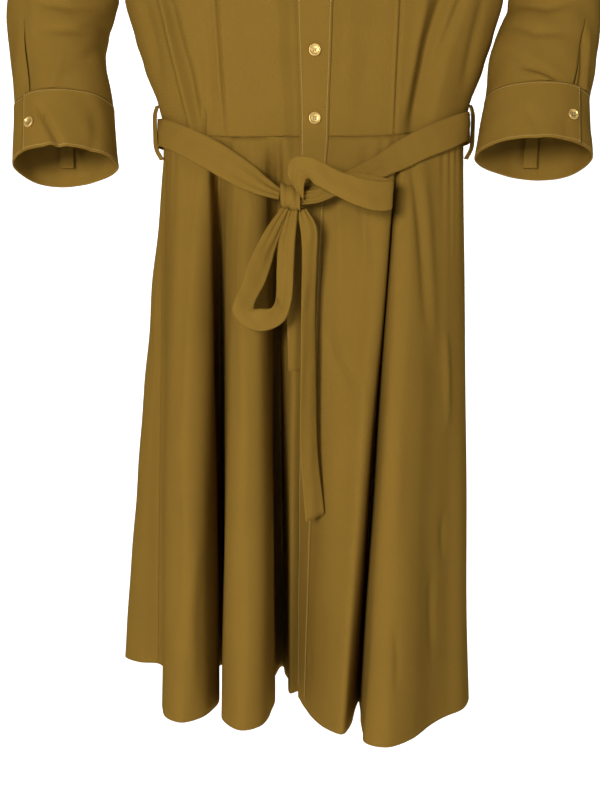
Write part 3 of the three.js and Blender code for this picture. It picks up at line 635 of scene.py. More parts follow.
def fall(turn, out):
    """The collar's fall: it leaves the stand's top edge, rolls over and lies on the bodice."""
    top = stand(turn, np.ones_like(turn), 0)
    top[..., 2] += FALL_FOOT
    side = np.sin(np.radians(turn))
    front = np.cos(np.radians(turn)) >= 0
    low = np.where(front, FALL_POINT_ACROSS, 0.0)
    across = low + (FALL_SIDE_ACROSS - low) * np.abs(side) ** 1.8
    from_up = np.where(front, FALL_POINT_UP, FALL_BACK_UP)
    up = from_up + (FALL_SIDE_UP - from_up) * np.abs(side) ** 3
    lean = np.degrees(np.arcsin(across)) * np.where(side < 0, -1, 1)
    at = np.where(front, lean, 180 - lean)
    end = bodice(at, up) + bodice_outward(at, up) * FALL_OFF
    from_side = np.abs(np.cos(np.radians(turn)))
    lift = np.where(from_side < SHOULDER_SHARE, SHOULDER_LIFT, 0)
    end[..., 2] += lift * (1 - smooth(from_side, 0, SHOULDER_SHARE))
    over = top + (end - top) * 0.3
    away = stacked(top[..., 0], top[..., 1] - NECK_SIDE_Y, 0)
    over = over + away / np.linalg.norm(away, axis=-1, keepdims=True) * ROLL_OUT
    over[..., 2] = top[..., 2] + ROLL_UP
    t = out[..., None]
    return top * (1 - t) ** 2 + over * 2 * t * (1 - t) + end * t**2


def belt_back(across, turn):
    s, c = np.sin(np.radians(turn)), np.cos(np.radians(turn))
    sag = BELT_BACK_SAG * np.sin(np.radians(turn - 90))
    z = BELT_BACK_Z - BELT_BACK_DROP * (turn - 90) / 180 - sag
    return stacked(BELT_SIDE * s, -BELT_BACK_DEEP * c, z + across * BELT_HALF)


def knot(turn, across):
    off = across * KNOT["half"]
    z = KNOT["z"] + KNOT["slope"] * off + KNOT["high"] * np.sin(np.radians(turn))
    return stacked(KNOT["x"] + off, KNOT["y"] - KNOT["deep"] * np.cos(np.radians(turn)), z)


# ---- Unevenness ----


def waves(points, seed, across, down):
    """A smooth, uneven height between about -1 and 1, with waves so long across and down, in millimetres."""
    rng = np.random.default_rng(seed)
    total = np.zeros(points.shape[:-1])
    for _ in range(7):
        angle = rng.uniform(0, math.tau)
        kx, ky = math.cos(angle) / across, math.sin(angle) / across
        kz = rng.uniform(-1, 1) / down
        phase = rng.uniform(0, math.tau)
        turns = points[..., 0] * kx + points[..., 1] * ky + points[..., 2] * kz
        total += np.sin(turns * math.tau * rng.uniform(0.6, 1.5) + phase)
    return total / 3.2


def crease_height(points, line, half, height, front):
    """The height of one crease at points of the cloth."""
    best = np.full(points.shape[:-1], 1e9)
    where = np.zeros(points.shape[:-1])
    spans = len(line) - 1
    for n in range(spans):
        a, b = np.array(line[n], float), np.array(line[n + 1], float)
        run = b - a
        rel = np.stack([points[..., 0] - a[0], points[..., 2] - a[1]], axis=-1)
        t = np.clip(rel @ run / (run @ run), 0, 1)
        gap = np.linalg.norm(rel - t[..., None] * run, axis=-1)
        closer = gap < best
        best = np.where(closer, gap, best)
        where = np.where(closer, (n + t) / spans, where)
    ends = 1 - np.abs(2 * where - 1) ** 3
    return height * np.exp(-((best / half) ** 2)) * (0.25 + 0.75 * ends) * front


# ---- Meshes ----

BUILT = {}


class Cloth:
    """A built piece's points and normals in millimetres, rows by columns, for what is sewn on it."""

    def __init__(self, points, normals, thick):
        self.points = points
        self.normals = normals
        self.thick = thick

    def at(self, i, j):
        """The point and normal at fractional column i and row j."""
        rows, columns = self.points.shape[:2]
        i, j = min(max(i, 0), columns - 1.001), min(max(j, 0), rows - 1.001)
        a, b = int(i), int(j)
        s, t = i - a, j - b

        def blended(array):
            top = array[b, a] * (1 - s) + array[b, a + 1] * s
            low = array[b + 1, a] * (1 - s) + array[b + 1, a + 1] * s
            return top * (1 - t) + low * t

        normal = blended(self.normals)
        return blended(self.points), normal / np.linalg.norm(normal)

    def beside_column(self, inset, from_end=False, rows=slice(None)):
        """A line down the cloth, so far in from its first or last column."""
        points, normals = self.points[rows], self.normals[rows]
        if from_end:
            points, normals = points[:, ::-1], normals[:, ::-1]
        gone = np.cumsum(np.linalg.norm(np.diff(points, axis=1), axis=-1), axis=1)
        line = []
        for j in range(points.shape[0]):
            i = int(np.searchsorted(gone[j], inset))
            i = min(i, points.shape[1] - 2)
            start = gone[j][i - 1] if i else 0
            share = min(max((inset - start) / max(gone[j][i] - start, 1e-6), 0), 1)
            point = points[j, i] * (1 - share) + points[j, i + 1] * share
            line.append((point, normals[j, i]))
        return line

    def beside_row(self, inset, from_end=False, columns=slice(None)):
        """A line across the cloth, so far in from its first or last row."""
        turned = Cloth(self.points.transpose(1, 0, 2), self.normals.transpose(1, 0, 2), self.thick)
        return turned.beside_column(inset, from_end, columns)


def normals_of(points, closed=False):
    if closed:
        wrapped = np.concatenate([points[:, -2:-1], points, points[:, 1:2]], axis=1)
        along = (wrapped[:, 2:] - wrapped[:, :-2]) / 2
    else:
        along = np.gradient(points, axis=1)
    down = np.gradient(points, axis=0)
    normal = np.cross(along, down)
    length = np.linalg.norm(normal, axis=-1, keepdims=True)
    return normal / np.maximum(length, 1e-9)


def outward_sign(points, normals, outside):
    """1 or -1, so that normals times it point away from the garment's inside, or towards a given side."""
    if outside == "axis":
        middle = np.array([0.0, 10.0, 0.0]) * np.ones_like(points)
        middle[..., 2] = points[..., 2]
    elif outside == "row":
        middle = points.mean(axis=1, keepdims=True)
    else:
        return 1 if np.sum(normals * np.array(outside, float)) >= 0 else -1
    return 1 if np.sum(normals * (points - middle)) >= 0 else -1


def distances(line):
    """How far along a line each of its points is."""
    return np.concatenate([[0], np.cumsum(np.linalg.norm(np.diff(line, axis=0), axis=-1))])


def cloth_mesh(name, points, join_until=None):
    """A grid of cloth through the given points. join_until sews its two side edges together down to a row."""
    rows, columns = points.shape[:2]
    mesh = bpy.data.meshes.new(name)
    bm = bmesh.new()
    bmesh.ops.create_grid(bm, x_segments=columns - 1, y_segments=rows - 1, size=0.5)
    if len(bm.verts) != rows * columns:
        raise RuntimeError(f"{name}: the grid has {len(bm.verts)} points, not {rows * columns}")
    i_of, j_of = {}, {}
    for vert in bm.verts:
        i = round((vert.co.x + 0.5) * (columns - 1))
        j = round((vert.co.y + 0.5) * (rows - 1))
        i_of[vert], j_of[vert] = i, j
        vert.co = Vector(points[j, i] * MM)
    uv = bm.loops.layers.uv.new("cloth")
    gone_across = distances(points[rows // 2]) * MM
    gone_down = distances(points[:, columns // 2]) * MM
    for face in bm.faces:
        face.smooth = True
        for loop in face.loops:
            loop[uv].uv = (gone_across[i_of[loop.vert]], -gone_down[j_of[loop.vert]])
    if join_until is not None:
        edge = [v for v in bm.verts if i_of[v] in (0, columns - 1) and j_of[v] <= join_until]
        bmesh.ops.remove_doubles(bm, verts=edge, dist=1e-5)
    bm.normal_update()
    return mesh, bm


def finished(name, mesh, bm, paint, thick):
    """The object for a mesh, with its cloth's thickness."""
    bm.to_mesh(mesh)
    bm.free()
    mesh.materials.append(paint)
    piece = bpy.data.objects.new(name, mesh)
    bpy.context.collection.objects.link(piece)
    if thick:
        shell = piece.modifiers.new("thickness", "SOLIDIFY")
        shell.thickness = thick * MM
        shell.offset = 0
        shell.use_even_offset = False
        shell.use_rim = True
    return piece


def spaced(start, end, count):
    return start + (end - start) * np.arange(count + 1) / count


def cloth_piece(
    name,
    surface,
    columns,
    rows,
    faced=0,
    node=None,
    outside="axis",
    closed=False,
    join_until=None,
    rough=(0.6, 45, 120),
    seed=1,
    turn_up=0,
    extra=None,
):
    """Builds one piece of cloth, creases it, and puts it in place of its node.

    faced is its share of the doubled cloth's thickness, or 0 for a single layer.
    rough is the height of its unevenness and the length of the waves, across and down.
    """
    thick = double_mm() * faced if faced else cloth_mm()
    u, v = np.meshgrid(columns, rows)
    points = surface(u, v)
    normals = normals_of(points, closed)
    normals *= outward_sign(points, normals, outside)
    edge = np.minimum(np.arange(len(columns)), np.arange(len(columns))[::-1]) / max(len(columns) - 1, 1)
    fade = np.ones_like(u) if closed else smooth(edge, 0, 0.06)[None, :] * np.ones_like(u)
    height, across, down = rough
    move = height * waves(points, seed, across, down) * fade
    node = node or name
    for line, half, tall in CREASES.get(node, []):
        front = facing_share(node, points)
        move = move + crease_height(points, line, half, tall, front) * fade
    if extra is not None:
        move = move + extra(u, v)
    points = points + normals * move[..., None]
    normals = normals_of(points, closed)
    normals *= outward_sign(points, normals, outside)
    if turn_up:
        points, normals = turned_up(points, normals, turn_up, thick)
    mesh, bm = cloth_mesh(name.replace("_", "-"), points, join_until)
    if outward_sign(points, mesh_normals(points), outside) < 0:
        bmesh.ops.reverse_faces(bm, faces=bm.faces)
    piece = finished(mesh.name, mesh, bm, material("crepe_faced" if faced else "crepe"), thick)
    BUILT[node] = Cloth(points, normals, thick)
    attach(piece, "root")
    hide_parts(node)


def facing_share(node, points):
    """1 where a crease seen from the front, or from the back on the back pieces, marks the cloth."""
    if node in ("back", "skirt_back"):
        return 1.0
    if node.startswith(("sleeve", "cuff")):
        middle = points[..., 1].mean(axis=1, keepdims=True)
        return smooth(middle - points[..., 1], -8, 8) + 0.55 * smooth(points[..., 1] - middle, -8, 8)
    return 1.0


def mesh_normals(points):
    """Normals of the grid's faces, as rows by columns like its points."""
    along = points[:, 1:] - points[:, :-1]
    down = points[1:] - points[:-1]
    cross = np.cross(along[:-1], down[:, :-1])
    full = np.zeros_like(points)
    full[:-1, :-1] = cross
    full[-1] = full[-2]
    full[:, -1] = full[:, -2]
    return full


def turned_up(points, normals, deep, thick):
    """Adds the hem's turned-up allowance inside the last row."""
    rise = points[-1] - points[-2]
    step = np.linalg.norm(rise, axis=-1).mean()
    back = max(int(round(deep / step)), 2)
    inside = points[-1 : -2 - back : -1] - normals[-1 : -2 - back : -1] * (thick + 0.5)
    below = rise / np.linalg.norm(rise, axis=-1, keepdims=True) * 0.4
    inside[0] = points[-1] - normals[-1] * (thick + 0.5) / 2 + below
    return np.concatenate([points, inside]), np.concatenate([normals, normals[-1 : -2 - back : -1]])


# ---- Materials ----


class Value:
    """A socket of a material's tree that takes ordinary arithmetic."""

    def __init__(self, tree, socket):
        self.tree = tree
        self.socket = socket

    def _math(self, operation, first, second):
        node = self.tree.nodes.new("ShaderNodeMath")
        node.operation = operation
        for slot, value in zip(node.inputs, (first, second)):
            if isinstance(value, Value):
                self.tree.links.new(value.socket, slot)
            else:
                slot.default_value = value
        return Value(self.tree, node.outputs[0])

    def __add__(self, other):
        return self._math("ADD", self, other)

    def __mul__(self, other):
        return self._math("MULTIPLY", self, other)

    def mixed(self, low, high):
        """A colour between low and high, by this share."""
        node = self.tree.nodes.new("ShaderNodeMix")
        node.data_type = "RGBA"
        self.tree.links.new(self.socket, node.inputs["Factor"])
        node.inputs["A"].default_value = (*low, 1)
        node.inputs["B"].default_value = (*high, 1)
        return Value(self.tree, node.outputs["Result"])


class Paint:
    """A material being made, with its tree and its main shader."""

    def __init__(self, name):
        self.material = bpy.data.materials.new(name)
        self.material.use_nodes = True
        self.tree = self.material.node_tree
        self.shader = self.tree.nodes["Principled BSDF"]

    def node(self, kind, settings=None, inputs=None, output=0):
        """Adds a node of a type, with its settings and inputs, and gives one of its outputs."""
        node = self.tree.nodes.new(kind)
        for key, value in (settings or {}).items():
            setattr(node, key, value)
        for key, value in (inputs or {}).items():
            if isinstance(value, Value):
                self.tree.links.new(value.socket, node.inputs[key])
            else:
                node.inputs[key].default_value = value
        return Value(self.tree, node.outputs[output])

    def noise(self, place, scale, detail, roughness):
        inputs = {"Vector": place, "Scale": scale, "Detail": detail, "Roughness": roughness}
        return self.node("ShaderNodeTexNoise", inputs=inputs)

    def drive(self, key, value):
        self.tree.links.new(value.socket, self.shader.inputs[key])

    def set(self, **values):
        for key, value in values.items():
            self.shader.inputs[key.replace("_", " ")].default_value = value


def crepe(name, colour, shade=1.0):
    """Matt crepe: a fine pebbled weave, a little uneven in tone."""
    paint = Paint(name)
    place = paint.node("ShaderNodeTexCoord", output="Object")
    pebble = paint.noise(place, 620.0, 3.0, 0.62)
    tone = paint.noise(place, 11.0, 2.0, 0.5)
    weave = paint.node(
        "ShaderNodeTexWave",
        {"wave_type": "BANDS", "bands_direction": "DIAGONAL"},
        {"Vector": place, "Scale": 210.0, "Distortion": 3.0, "Detail": 2.0, "Detail Scale": 3.0},
    )
    share = pebble * 0.55 + tone * 0.3 + weave * 0.15
    dark = tuple(c * shade * 0.78 for c in colour)
    light = tuple(c * shade * 1.2 for c in colour)
    paint.drive("Base Color", share.mixed(dark, light))
    height = pebble * 0.75 + weave * 0.25
    relief = {"Height": height, "Strength": 0.5, "Distance": 0.0005}
    paint.drive("Normal", paint.node("ShaderNodeBump", inputs=relief, output="Normal"))
    paint.set(Roughness=0.68)
    paint.shader.inputs["Specular IOR Level"].default_value = 0.0
    return paint.material


def gold(name, colour):
    paint = Paint(name)
    place = paint.node("ShaderNodeTexCoord", output="Object")
    worn = paint.noise(place, 300.0, 2.0, 0.5)
    light = tuple(min(c * 1.1, 1) for c in colour)
    paint.drive("Base Color", worn.mixed(tuple(c * 0.85 for c in colour), light))
    paint.drive("Roughness", worn * 0.15 + 0.3)
    paint.set(Metallic=0.7)
    return paint.material


def plain(name, colour, roughness=0.7):
    paint = Paint(name)
    paint.shader.inputs["Base Color"].default_value = (*colour, 1)
    paint.set(Roughness=roughness)
    return paint.material


# ---- Sizes and colours that can be set in the sidebar ----


class ShirtDressSettings(bpy.types.PropertyGroup):
    cloth_thick: bpy.props.FloatProperty(
        name="Cloth",
        description="Thickness of a single layer of crepe",
        default=0.0008,
        min=0.0003,
        unit="LENGTH",
    )
    double_thick: bpy.props.FloatProperty(
        name="Doubled cloth",
        description="Thickness of the faced pieces",
        default=0.0017,
        min=0.0006,
        unit="LENGTH",
    )
    stitch_long: bpy.props.FloatProperty(
        name="Stitch", description="Length of a topstitch", default=0.0024, min=0.001, unit="LENGTH"
    )
    stitch_pitch: bpy.props.FloatProperty(
        name="Stitch pitch",
        description="From one topstitch to the next",
        default=0.0036,
        min=0.0015,
        unit="LENGTH",
    )
    crepe_colour: bpy.props.FloatVectorProperty(
        name="Crepe", description="Colour of the crepe", default=(0.190, 0.108, 0.0185), subtype="COLOR"
    )
    thread_colour: bpy.props.FloatVectorProperty(
        name="Thread", description="Colour of the topstitching", default=(0.50, 0.34, 0.12), subtype="COLOR"
    )
    button_colour: bpy.props.FloatVectorProperty(
        name="Buttons", description="Colour of the buttons", default=(0.70, 0.47, 0.15), subtype="COLOR"
    )


def settings():
    return bpy.context.scene.shirt_dress


MATERIALS = {}


def material(kind):
    """The dress's material of a kind, made once."""
    if kind not in MATERIALS:
        chosen = settings()
        crepe_colour = tuple(chosen.crepe_colour)
        if kind == "crepe":
            MATERIALS[kind] = crepe("crepe", crepe_colour)
        elif kind == "crepe_faced":
            MATERIALS[kind] = crepe("crepe faced", crepe_colour, 1.03)
        elif kind == "thread":
            MATERIALS[kind] = plain("thread", tuple(chosen.thread_colour))
        elif kind == "gold":
            MATERIALS[kind] = gold("button gold", tuple(chosen.button_colour))
        elif kind == "painted_hole_shade":
            # A dark colour painted on flat discs as the shade inside the button holes, which are not cut.
            MATERIALS[kind] = plain("painted button shade", (0.05, 0.03, 0.012))
    return MATERIALS[kind]


def cloth_mm():
    return settings().cloth_thick / MM


def double_mm():
    return settings().double_thick / MM


# ---- Stitching and buttons ----


def bean(length, thick):
    """Points and faces of one stitch, a small rounded bar along X."""
    bm = bmesh.new()
    bmesh.ops.create_uvsphere(bm, u_segments=6, v_segments=5, radius=1)
    bmesh.ops.rotate(bm, verts=bm.verts, matrix=Matrix.Rotation(math.pi / 2, 3, "Y"))
    for vert in bm.verts:
        vert.co.x *= length / 2
        vert.co.y *= thick / 2
        vert.co.z *= thick / 2 * (1 if vert.co.z > 0 else 0.6)
    points = np.array([v.co[:] for v in bm.verts])
    faces = [[v.index for v in f.verts] for f in bm.faces]
    bm.free()
    return points, faces


def stitch_places(line, pitch):
    """Evenly spaced places down a line of points with normals: the point, its direction and its normal."""
    points = np.array([p for p, _ in line])
    normals = np.array([n for _, n in line])
    gone = distances(points)
    places = np.arange(pitch / 2, gone[-1] - pitch / 2, pitch)
    found = []
    for at in places:
        k = min(int(np.searchsorted(gone, at)) - 1, len(points) - 2)
        k = max(k, 0)
        span = max(gone[k + 1] - gone[k], 1e-9)
        share = (at - gone[k]) / span
        run = (points[k + 1] - points[k]) / span
        normal = normals[k] * (1 - share) + normals[k + 1] * share
        normal -= run * (normal @ run)
        found.append((points[k] * (1 - share) + points[k + 1] * share, run, normal / np.linalg.norm(normal)))
    return found


def resting(cloth, lines):
    """Lines for topstitches, each with the lift that rests it on its cloth."""
    return [(line, cloth.thick / 2) for line in lines]


def stitching(name, lines, thick=0.6):
    """One mesh of topstitches along lines on the cloth: each is its points with normals, and a lift."""
    chosen = settings()
    base, faces = bean(chosen.stitch_long / MM, thick)
    all_points, all_faces = [], []
    for line, lift in lines:
        for at, run, normal in stitch_places(line, chosen.stitch_pitch / MM):
            axes = np.stack([run, np.cross(normal, run), normal])
            start = len(all_points) * len(base)
            all_points.append(base @ axes + at + normal * (lift + thick * 0.12))
            all_faces.extend([[i + start for i in face] for face in faces])
    mesh = bpy.data.meshes.new(name)
    mesh.from_pydata((np.concatenate(all_points) * MM).tolist(), [], all_faces)
    mesh.polygons.foreach_set("use_smooth", [True] * len(mesh.polygons))
    mesh.materials.append(material("thread"))
    piece = bpy.data.objects.new(name, mesh)
    bpy.context.collection.objects.link(piece)
    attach(piece, "root")
    return piece


BUTTON_PROFILE = [
    # share of the radius, height in millimetres
    (0.0, 0.0),
    (0.9, 0.0),
    (0.985, 0.5),
    (1.0, 1.2),
    (0.985, 2.1),
    (0.93, 2.7),
    (0.86, 2.95),
    (0.79, 2.75),
    (0.72, 2.2),
    (0.66, 1.8),
    (0.4, 1.7),
    (0.0, 1.68),
]
HOLE_OUT = 0.25
HOLE_RADIUS = 0.95


def button_mesh(name, radius):
    """A dished button with a raised rim, standing on its base with +Z outward, with four dark discs of
    painted shade where its holes would be.
    """
    mesh = bpy.data.meshes.new(name)
    bm = bmesh.new()
    line = [bm.verts.new((share * radius * MM, 0, high * MM)) for share, high in BUTTON_PROFILE]
    edges = [bm.edges.new(pair) for pair in zip(line, line[1:])]
    bmesh.ops.spin(
        bm, geom=line + edges, cent=(0, 0, 0), axis=(0, 0, 1), angle=math.tau, steps=40, use_merge=True
    )
    bmesh.ops.remove_doubles(bm, verts=bm.verts, dist=1e-6)
    bmesh.ops.recalc_face_normals(bm, faces=bm.faces)
    for face in bm.faces:
        face.smooth = True
    # The holes are not cut: each is a flat dark disc of painted shade laid just above the dish.
    for k in range(4):
        angle = math.pi / 4 + k * math.pi / 2
        at = (math.cos(angle) * HOLE_OUT * radius * MM, math.sin(angle) * HOLE_OUT * radius * MM, 1.75 * MM)
        made = bmesh.ops.create_circle(bm, cap_ends=True, segments=14, radius=HOLE_RADIUS * MM)
        bmesh.ops.translate(bm, verts=made["verts"], vec=at)
        for face in {f for v in made["verts"] for f in v.link_faces}:
            face.material_index = 1
    bm.to_mesh(mesh)
    bm.free()
    mesh.materials.append(material("gold"))
    mesh.materials.append(material("painted_hole_shade"))
    return mesh


def thread_cross(bm, radius, material_index):
    """Two crossed bars of thread between the button's holes."""
    reach = HOLE_OUT * radius
    for k in range(2):
        angle = math.pi / 4 + k * math.pi / 2
        for offset in (-0.28, 0.28):
            made = bmesh.ops.create_uvsphere(bm, u_segments=8, v_segments=6, radius=1)
            at = Matrix.Translation((0, offset * MM, (1.95 + 0.28 * k) * MM))
            turn = Matrix.Rotation(angle, 4, "Z") @ at
            size = Matrix.Diagonal((reach * 1.15 * MM, 0.34 * MM, 0.36 * MM, 1))
            bmesh.ops.transform(bm, matrix=turn @ size, verts=made["verts"])
            for face in {f for v in made["verts"] for f in v.link_faces}:
                face.material_index = material_index
                face.smooth = True


def sew_button(name, cloth, i, j, radius, facing):
    """Puts a button on a built cloth at fractional column i and row j."""
    at, normal = cloth.at(i, j)
    normal = Vector(normal)
    if normal.dot(Vector(facing)) < 0:
        normal.negate()
    mesh = button_mesh(name, radius)
    bm = bmesh.new()
    bm.from_mesh(mesh)
    thread_cross(bm, radius, 2)
    up = Vector((0, 0, 1))
    side = up.cross(normal).normalized()
    turn = Matrix((side, normal.cross(side), normal)).transposed().to_4x4()
    place = Matrix.Translation(Vector(at) * MM + normal * (cloth.thick / 2 + 0.25) * MM)
    bmesh.ops.transform(bm, matrix=place @ turn, verts=bm.verts)
    bm.to_mesh(mesh)
    bm.free()
    mesh.materials.append(material("thread"))
    piece = bpy.data.objects.new(name.replace("_", "-"), mesh)
    bpy.context.collection.objects.link(piece)
    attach(piece, "root")
    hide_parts(name)
    return piece


# ---- The pieces ----


class ShirtDressOperator:
    """What the dress's operators share."""

    bl_options = {"REGISTER", "UNDO"}


class SHIRTDRESS_OT_bodice(ShirtDressOperator, bpy.types.Operator):
    """Builds the two bodice fronts and the back"""

    bl_idname = "shirtdress.bodice"
    bl_label = "Bodice"

    def execute(self, context):
        rows = spaced(0, 1 - SHOULDER_TRIM, 130)
        left = spaced(BAND_TURN + BAND_GAP, 90 - SIDE_TRIM, 200)
        right = spaced(-90 + SIDE_TRIM, RIGHT_FRONT_TURN, 220)
        behind = spaced(90 + SIDE_TRIM, 270 - SIDE_TRIM, 190)
        cloth_piece("front_left", bodice, left, rows, rough=(0.75, 60, 110), seed=11)
        cloth_piece("front_right", bodice_right, right, rows, rough=(0.75, 60, 110), seed=12)
        cloth_piece("back", bodice, behind, rows, rough=(0.9, 70, 120), seed=13)
        return {"FINISHED"}


class SHIRTDRESS_OT_skirt(ShirtDressOperator, bpy.types.Operator):
    """Builds the two skirt fronts and the skirt back"""

    bl_idname = "shirtdress.skirt"
    bl_label = "Skirt"

    def execute(self, context):
        rows = spaced(0, 1, 110)
        panels = [
            # name, first and last place, columns, seed
            ("skirt_front_right", 0, RIGHT_SIDE - SEAM_STEP, 240, 21),
            ("skirt_back", RIGHT_SIDE + SEAM_STEP, LEFT_SIDE - SEAM_STEP, 224, 22),
            ("skirt_front_left", LEFT_SIDE + SEAM_STEP, BAND_SEAM - SEAM_STEP, 224, 23),
        ]
        for name, first, last, columns, seed in panels:
            cloth_piece(
                name, skirt, spaced(first, last, columns), rows,
                rough=(1.15, 55, 260), turn_up=HEM_UP, extra=gathers, seed=seed,
            )
        return {"FINISHED"}


def gathers(place, down):
    """Small uneven gathers that run down from the waist seam."""
    turn = np.interp(place, np.arange(len(FOLDS)), FOLD_TURN)
    soft = np.exp(-((down / 0.1) ** 1.2)) * smooth(down, 0, 0.012)
    uneven = 0.6 + 0.4 * np.sin(turn * 0.21 + 1.3)
    return 1.3 * soft * uneven * np.sin(turn * 0.83 + 2.2 * np.sin(turn * 0.17))


class SHIRTDRESS_OT_band(ShirtDressOperator, bpy.types.Operator):
    """Builds the button band from the neck to the hem"""

    bl_idname = "shirtdress.band"
    bl_label = "Button band"

    def execute(self, context):
        above = -spaced(1 - SHOULDER_TRIM, BAND_WAIST_STEP, BAND_ROWS_ABOVE)
        below = spaced(BAND_WAIST_STEP, 1, BAND_ROWS_BELOW)
        cloth_piece(
            "front_band", band, spaced(0, 1, BAND_COLUMNS), np.concatenate([above, below]), 0.8,
            outside=(0, -1, 0), rough=(0.35, 50, 90), seed=31, turn_up=BAND_HEM_UP,
        )
        return {"FINISHED"}


class SHIRTDRESS_OT_sleeves(ShirtDressOperator, bpy.types.Operator):
    """Builds the two sleeves, each with a slit above the cuff"""

    bl_idname = "shirtdress.sleeves"
    bl_label = "Sleeves"

    def execute(self, context):
        rows = spaced(0, SLEEVE_END, SLEEVE_ROWS)
        turns = spaced(SLIT_TURN, SLIT_TURN + 360, 128)
        for seed, name in enumerate(SIDES, 41):
            cloth_piece(
                f"sleeve_{name}", slit_sleeve(sleeve_of(name)), turns, rows, outside="row", closed=True,
                join_until=int(SLIT_FROM * SLEEVE_ROWS), rough=(0.9, 55, 90), seed=seed,
            )
        return {"FINISHED"}


def slit_sleeve(sleeve):
    """A sleeve whose slit stands open a little."""

    def opened(turn, along):
        points = sleeve(turn, along)
        gap = 1.6 * smooth(along, SLIT_FROM, SLIT_FROM + 0.12)
        run = points[:, 1] - points[:, 0]
        run /= np.linalg.norm(run, axis=-1, keepdims=True)
        near = np.exp(-(((turn - SLIT_TURN) / 5) ** 2)) - np.exp(-(((turn - SLIT_TURN - 360) / 5) ** 2))
        return points + run[:, None] * (gap * near)[..., None] * 0.5

    return opened


class SHIRTDRESS_OT_cuffs(ShirtDressOperator, bpy.types.Operator):
    """Builds the two cuffs, lapped and buttoned at the outer front"""

    bl_idname = "shirtdress.cuffs"
    bl_label = "Cuffs"

    def execute(self, context):
        for seed, name in enumerate(SIDES, 51):
            cloth_piece(
                f"cuff_{name}", cuff_of(name), spaced(0, CUFF_RUN, 140), spaced(CUFF_TOP_GAP, 1, 30), 1,
                outside="row", rough=(0.8, 45, 60), seed=seed,
            )
        return {"FINISHED"}


class SHIRTDRESS_OT_roll_tabs(ShirtDressOperator, bpy.types.Operator):
    """Builds the two roll tabs that hang inside the sleeves"""

    bl_idname = "shirtdress.roll_tabs"
    bl_label = "Roll tabs"

    def execute(self, context):
        for name, (_side, _rings, _end, top, bottom, back, _relief) in SIDES.items():
            rows = []
            for share, y, z in TAB_ROWS:
                rows.append(((bottom + (top - bottom) * share, y + back, z), (TAB_HALF, 0, 0)))
            cloth_piece(
                f"roll_tab_{name}", strap_of(rows), spaced(-1, 1, 8), spaced(0, 1, 30), 0.9,
                outside=(0, -1, 0), rough=(0.3, 40, 60), seed=55,
            )
        return {"FINISHED"}


class SHIRTDRESS_OT_collar(ShirtDressOperator, bpy.types.Operator):
    """Builds the collar's stand and its fall"""

    bl_idname = "shirtdress.collar"
    bl_label = "Collar"

    def execute(self, context):
        turns = spaced(-STAND_LAP, 360 + STAND_LAP, 180)
        cloth_piece("collar_stand", stand, turns, spaced(0, 1, 10), 1, rough=(0.3, 60, 60), seed=61)
        turns = spaced(FALL_START, 360 - FALL_START, 180)
        cloth_piece("collar_fall", fall, turns, spaced(0, 1, 26), 1, rough=(0.7, 60, 60), seed=62)
        return {"FINISHED"}


def drawn_in(ends, reach=0.22, tall=1.2, many=3.0):
    """Lengthwise wrinkles of a strap that is drawn in at its first end, its last end or both."""

    def wrinkles(u, v):
        near = np.zeros_like(v)
        if "first" in ends:
            near = near + np.exp(-((v / reach) ** 1.4))
        if "last" in ends:
            near = near + np.exp(-(((1 - v) / reach) ** 1.4))
        rounded = -0.9 * u**2
        return rounded + tall * near * np.sin(u * many * math.pi + 1.1 * v) + 0.35 * np.sin(u * 4.2 + v * 9)

    return wrinkles


class SHIRTDRESS_OT_belt(ShirtDressOperator, bpy.types.Operator):
    """Builds the belt: its stretches, bow, tails and knot"""

    bl_idname = "shirtdress.belt"
    bl_label = "Belt"

    def execute(self, context):
        turns = spaced(90 + BELT_BACK_TRIM, 270 - BELT_BACK_TRIM, 90)
        cloth_piece(
            "belt_back", belt_back, spaced(-1, 1, 10), turns, BELT_FACED, rough=(0.5, 40, 40), seed=71
        )
        drawn = {
            # the ends drawn in, how far, how tall and how many wrinkles
            "run_right": (["last"], 0.3, 1.3, 2.6),
            "run_left": (["last"], 0.3, 1.3, 2.6),
            "bow_left": (["first", "last"], 0.12, 1.0, 3.0),
            "bow_right": (["first", "last"], 0.14, 1.0, 2.6),
            "tail_long": (["first"], 0.12, 1.0, 2.4),
            "tail_short": (["first"], 0.2, 0.9, 2.4),
        }
        for k, (name, rows) in enumerate(BELT.items()):
            down = spaced(0, 1, 12 * (len(rows) - 1))
            cloth_piece(
                f"belt_{name}", strap_of(rows), spaced(-1, 1, 14), down, BELT_FACED,
                outside=(0, -1, 0), rough=(0.4, 30, 40), seed=72 + k, extra=drawn_in(*drawn[name]),
            )
        cloth_piece(
            "belt_knot", knot, spaced(0, 360, 72), spaced(-1, 1, 24), BELT_FACED, outside="row", closed=True,
            join_until=24, rough=(0.3, 20, 20), seed=81, extra=knot_folds,
        )
        return {"FINISHED"}


def knot_folds(turn, across):
    """Folds that run round the knot, and its ends drawn in."""
    return 0.9 * np.sin(across * 6.4 + 0.5 * np.sin(np.radians(turn) + 0.8)) - 1.4 * np.abs(across) ** 4


class SHIRTDRESS_OT_belt_loops(ShirtDressOperator, bpy.types.Operator):
    """Builds the belt loops at the side seams"""

    bl_idname = "shirtdress.belt_loops"
    bl_label = "Belt loops"

    def execute(self, context):
        for name, (side, *_rest) in SIDES.items():
            rise = LEFT_LOOP_RISE if side > 0 else 0
            half = (side * LOOP_TURN, LOOP_HALF, 0)
            rows = [((side * out, 0, z + rise), half) for out, z in LOOP_LINE]
            cloth_piece(
                f"belt_loop_{name}", strap_of(rows), spaced(-1, 1, 6), spaced(0, 1, 28), 0.8,
                outside=(side, 0, 0), rough=(0.1, 30, 30), seed=85,
            )
        return {"FINISHED"}


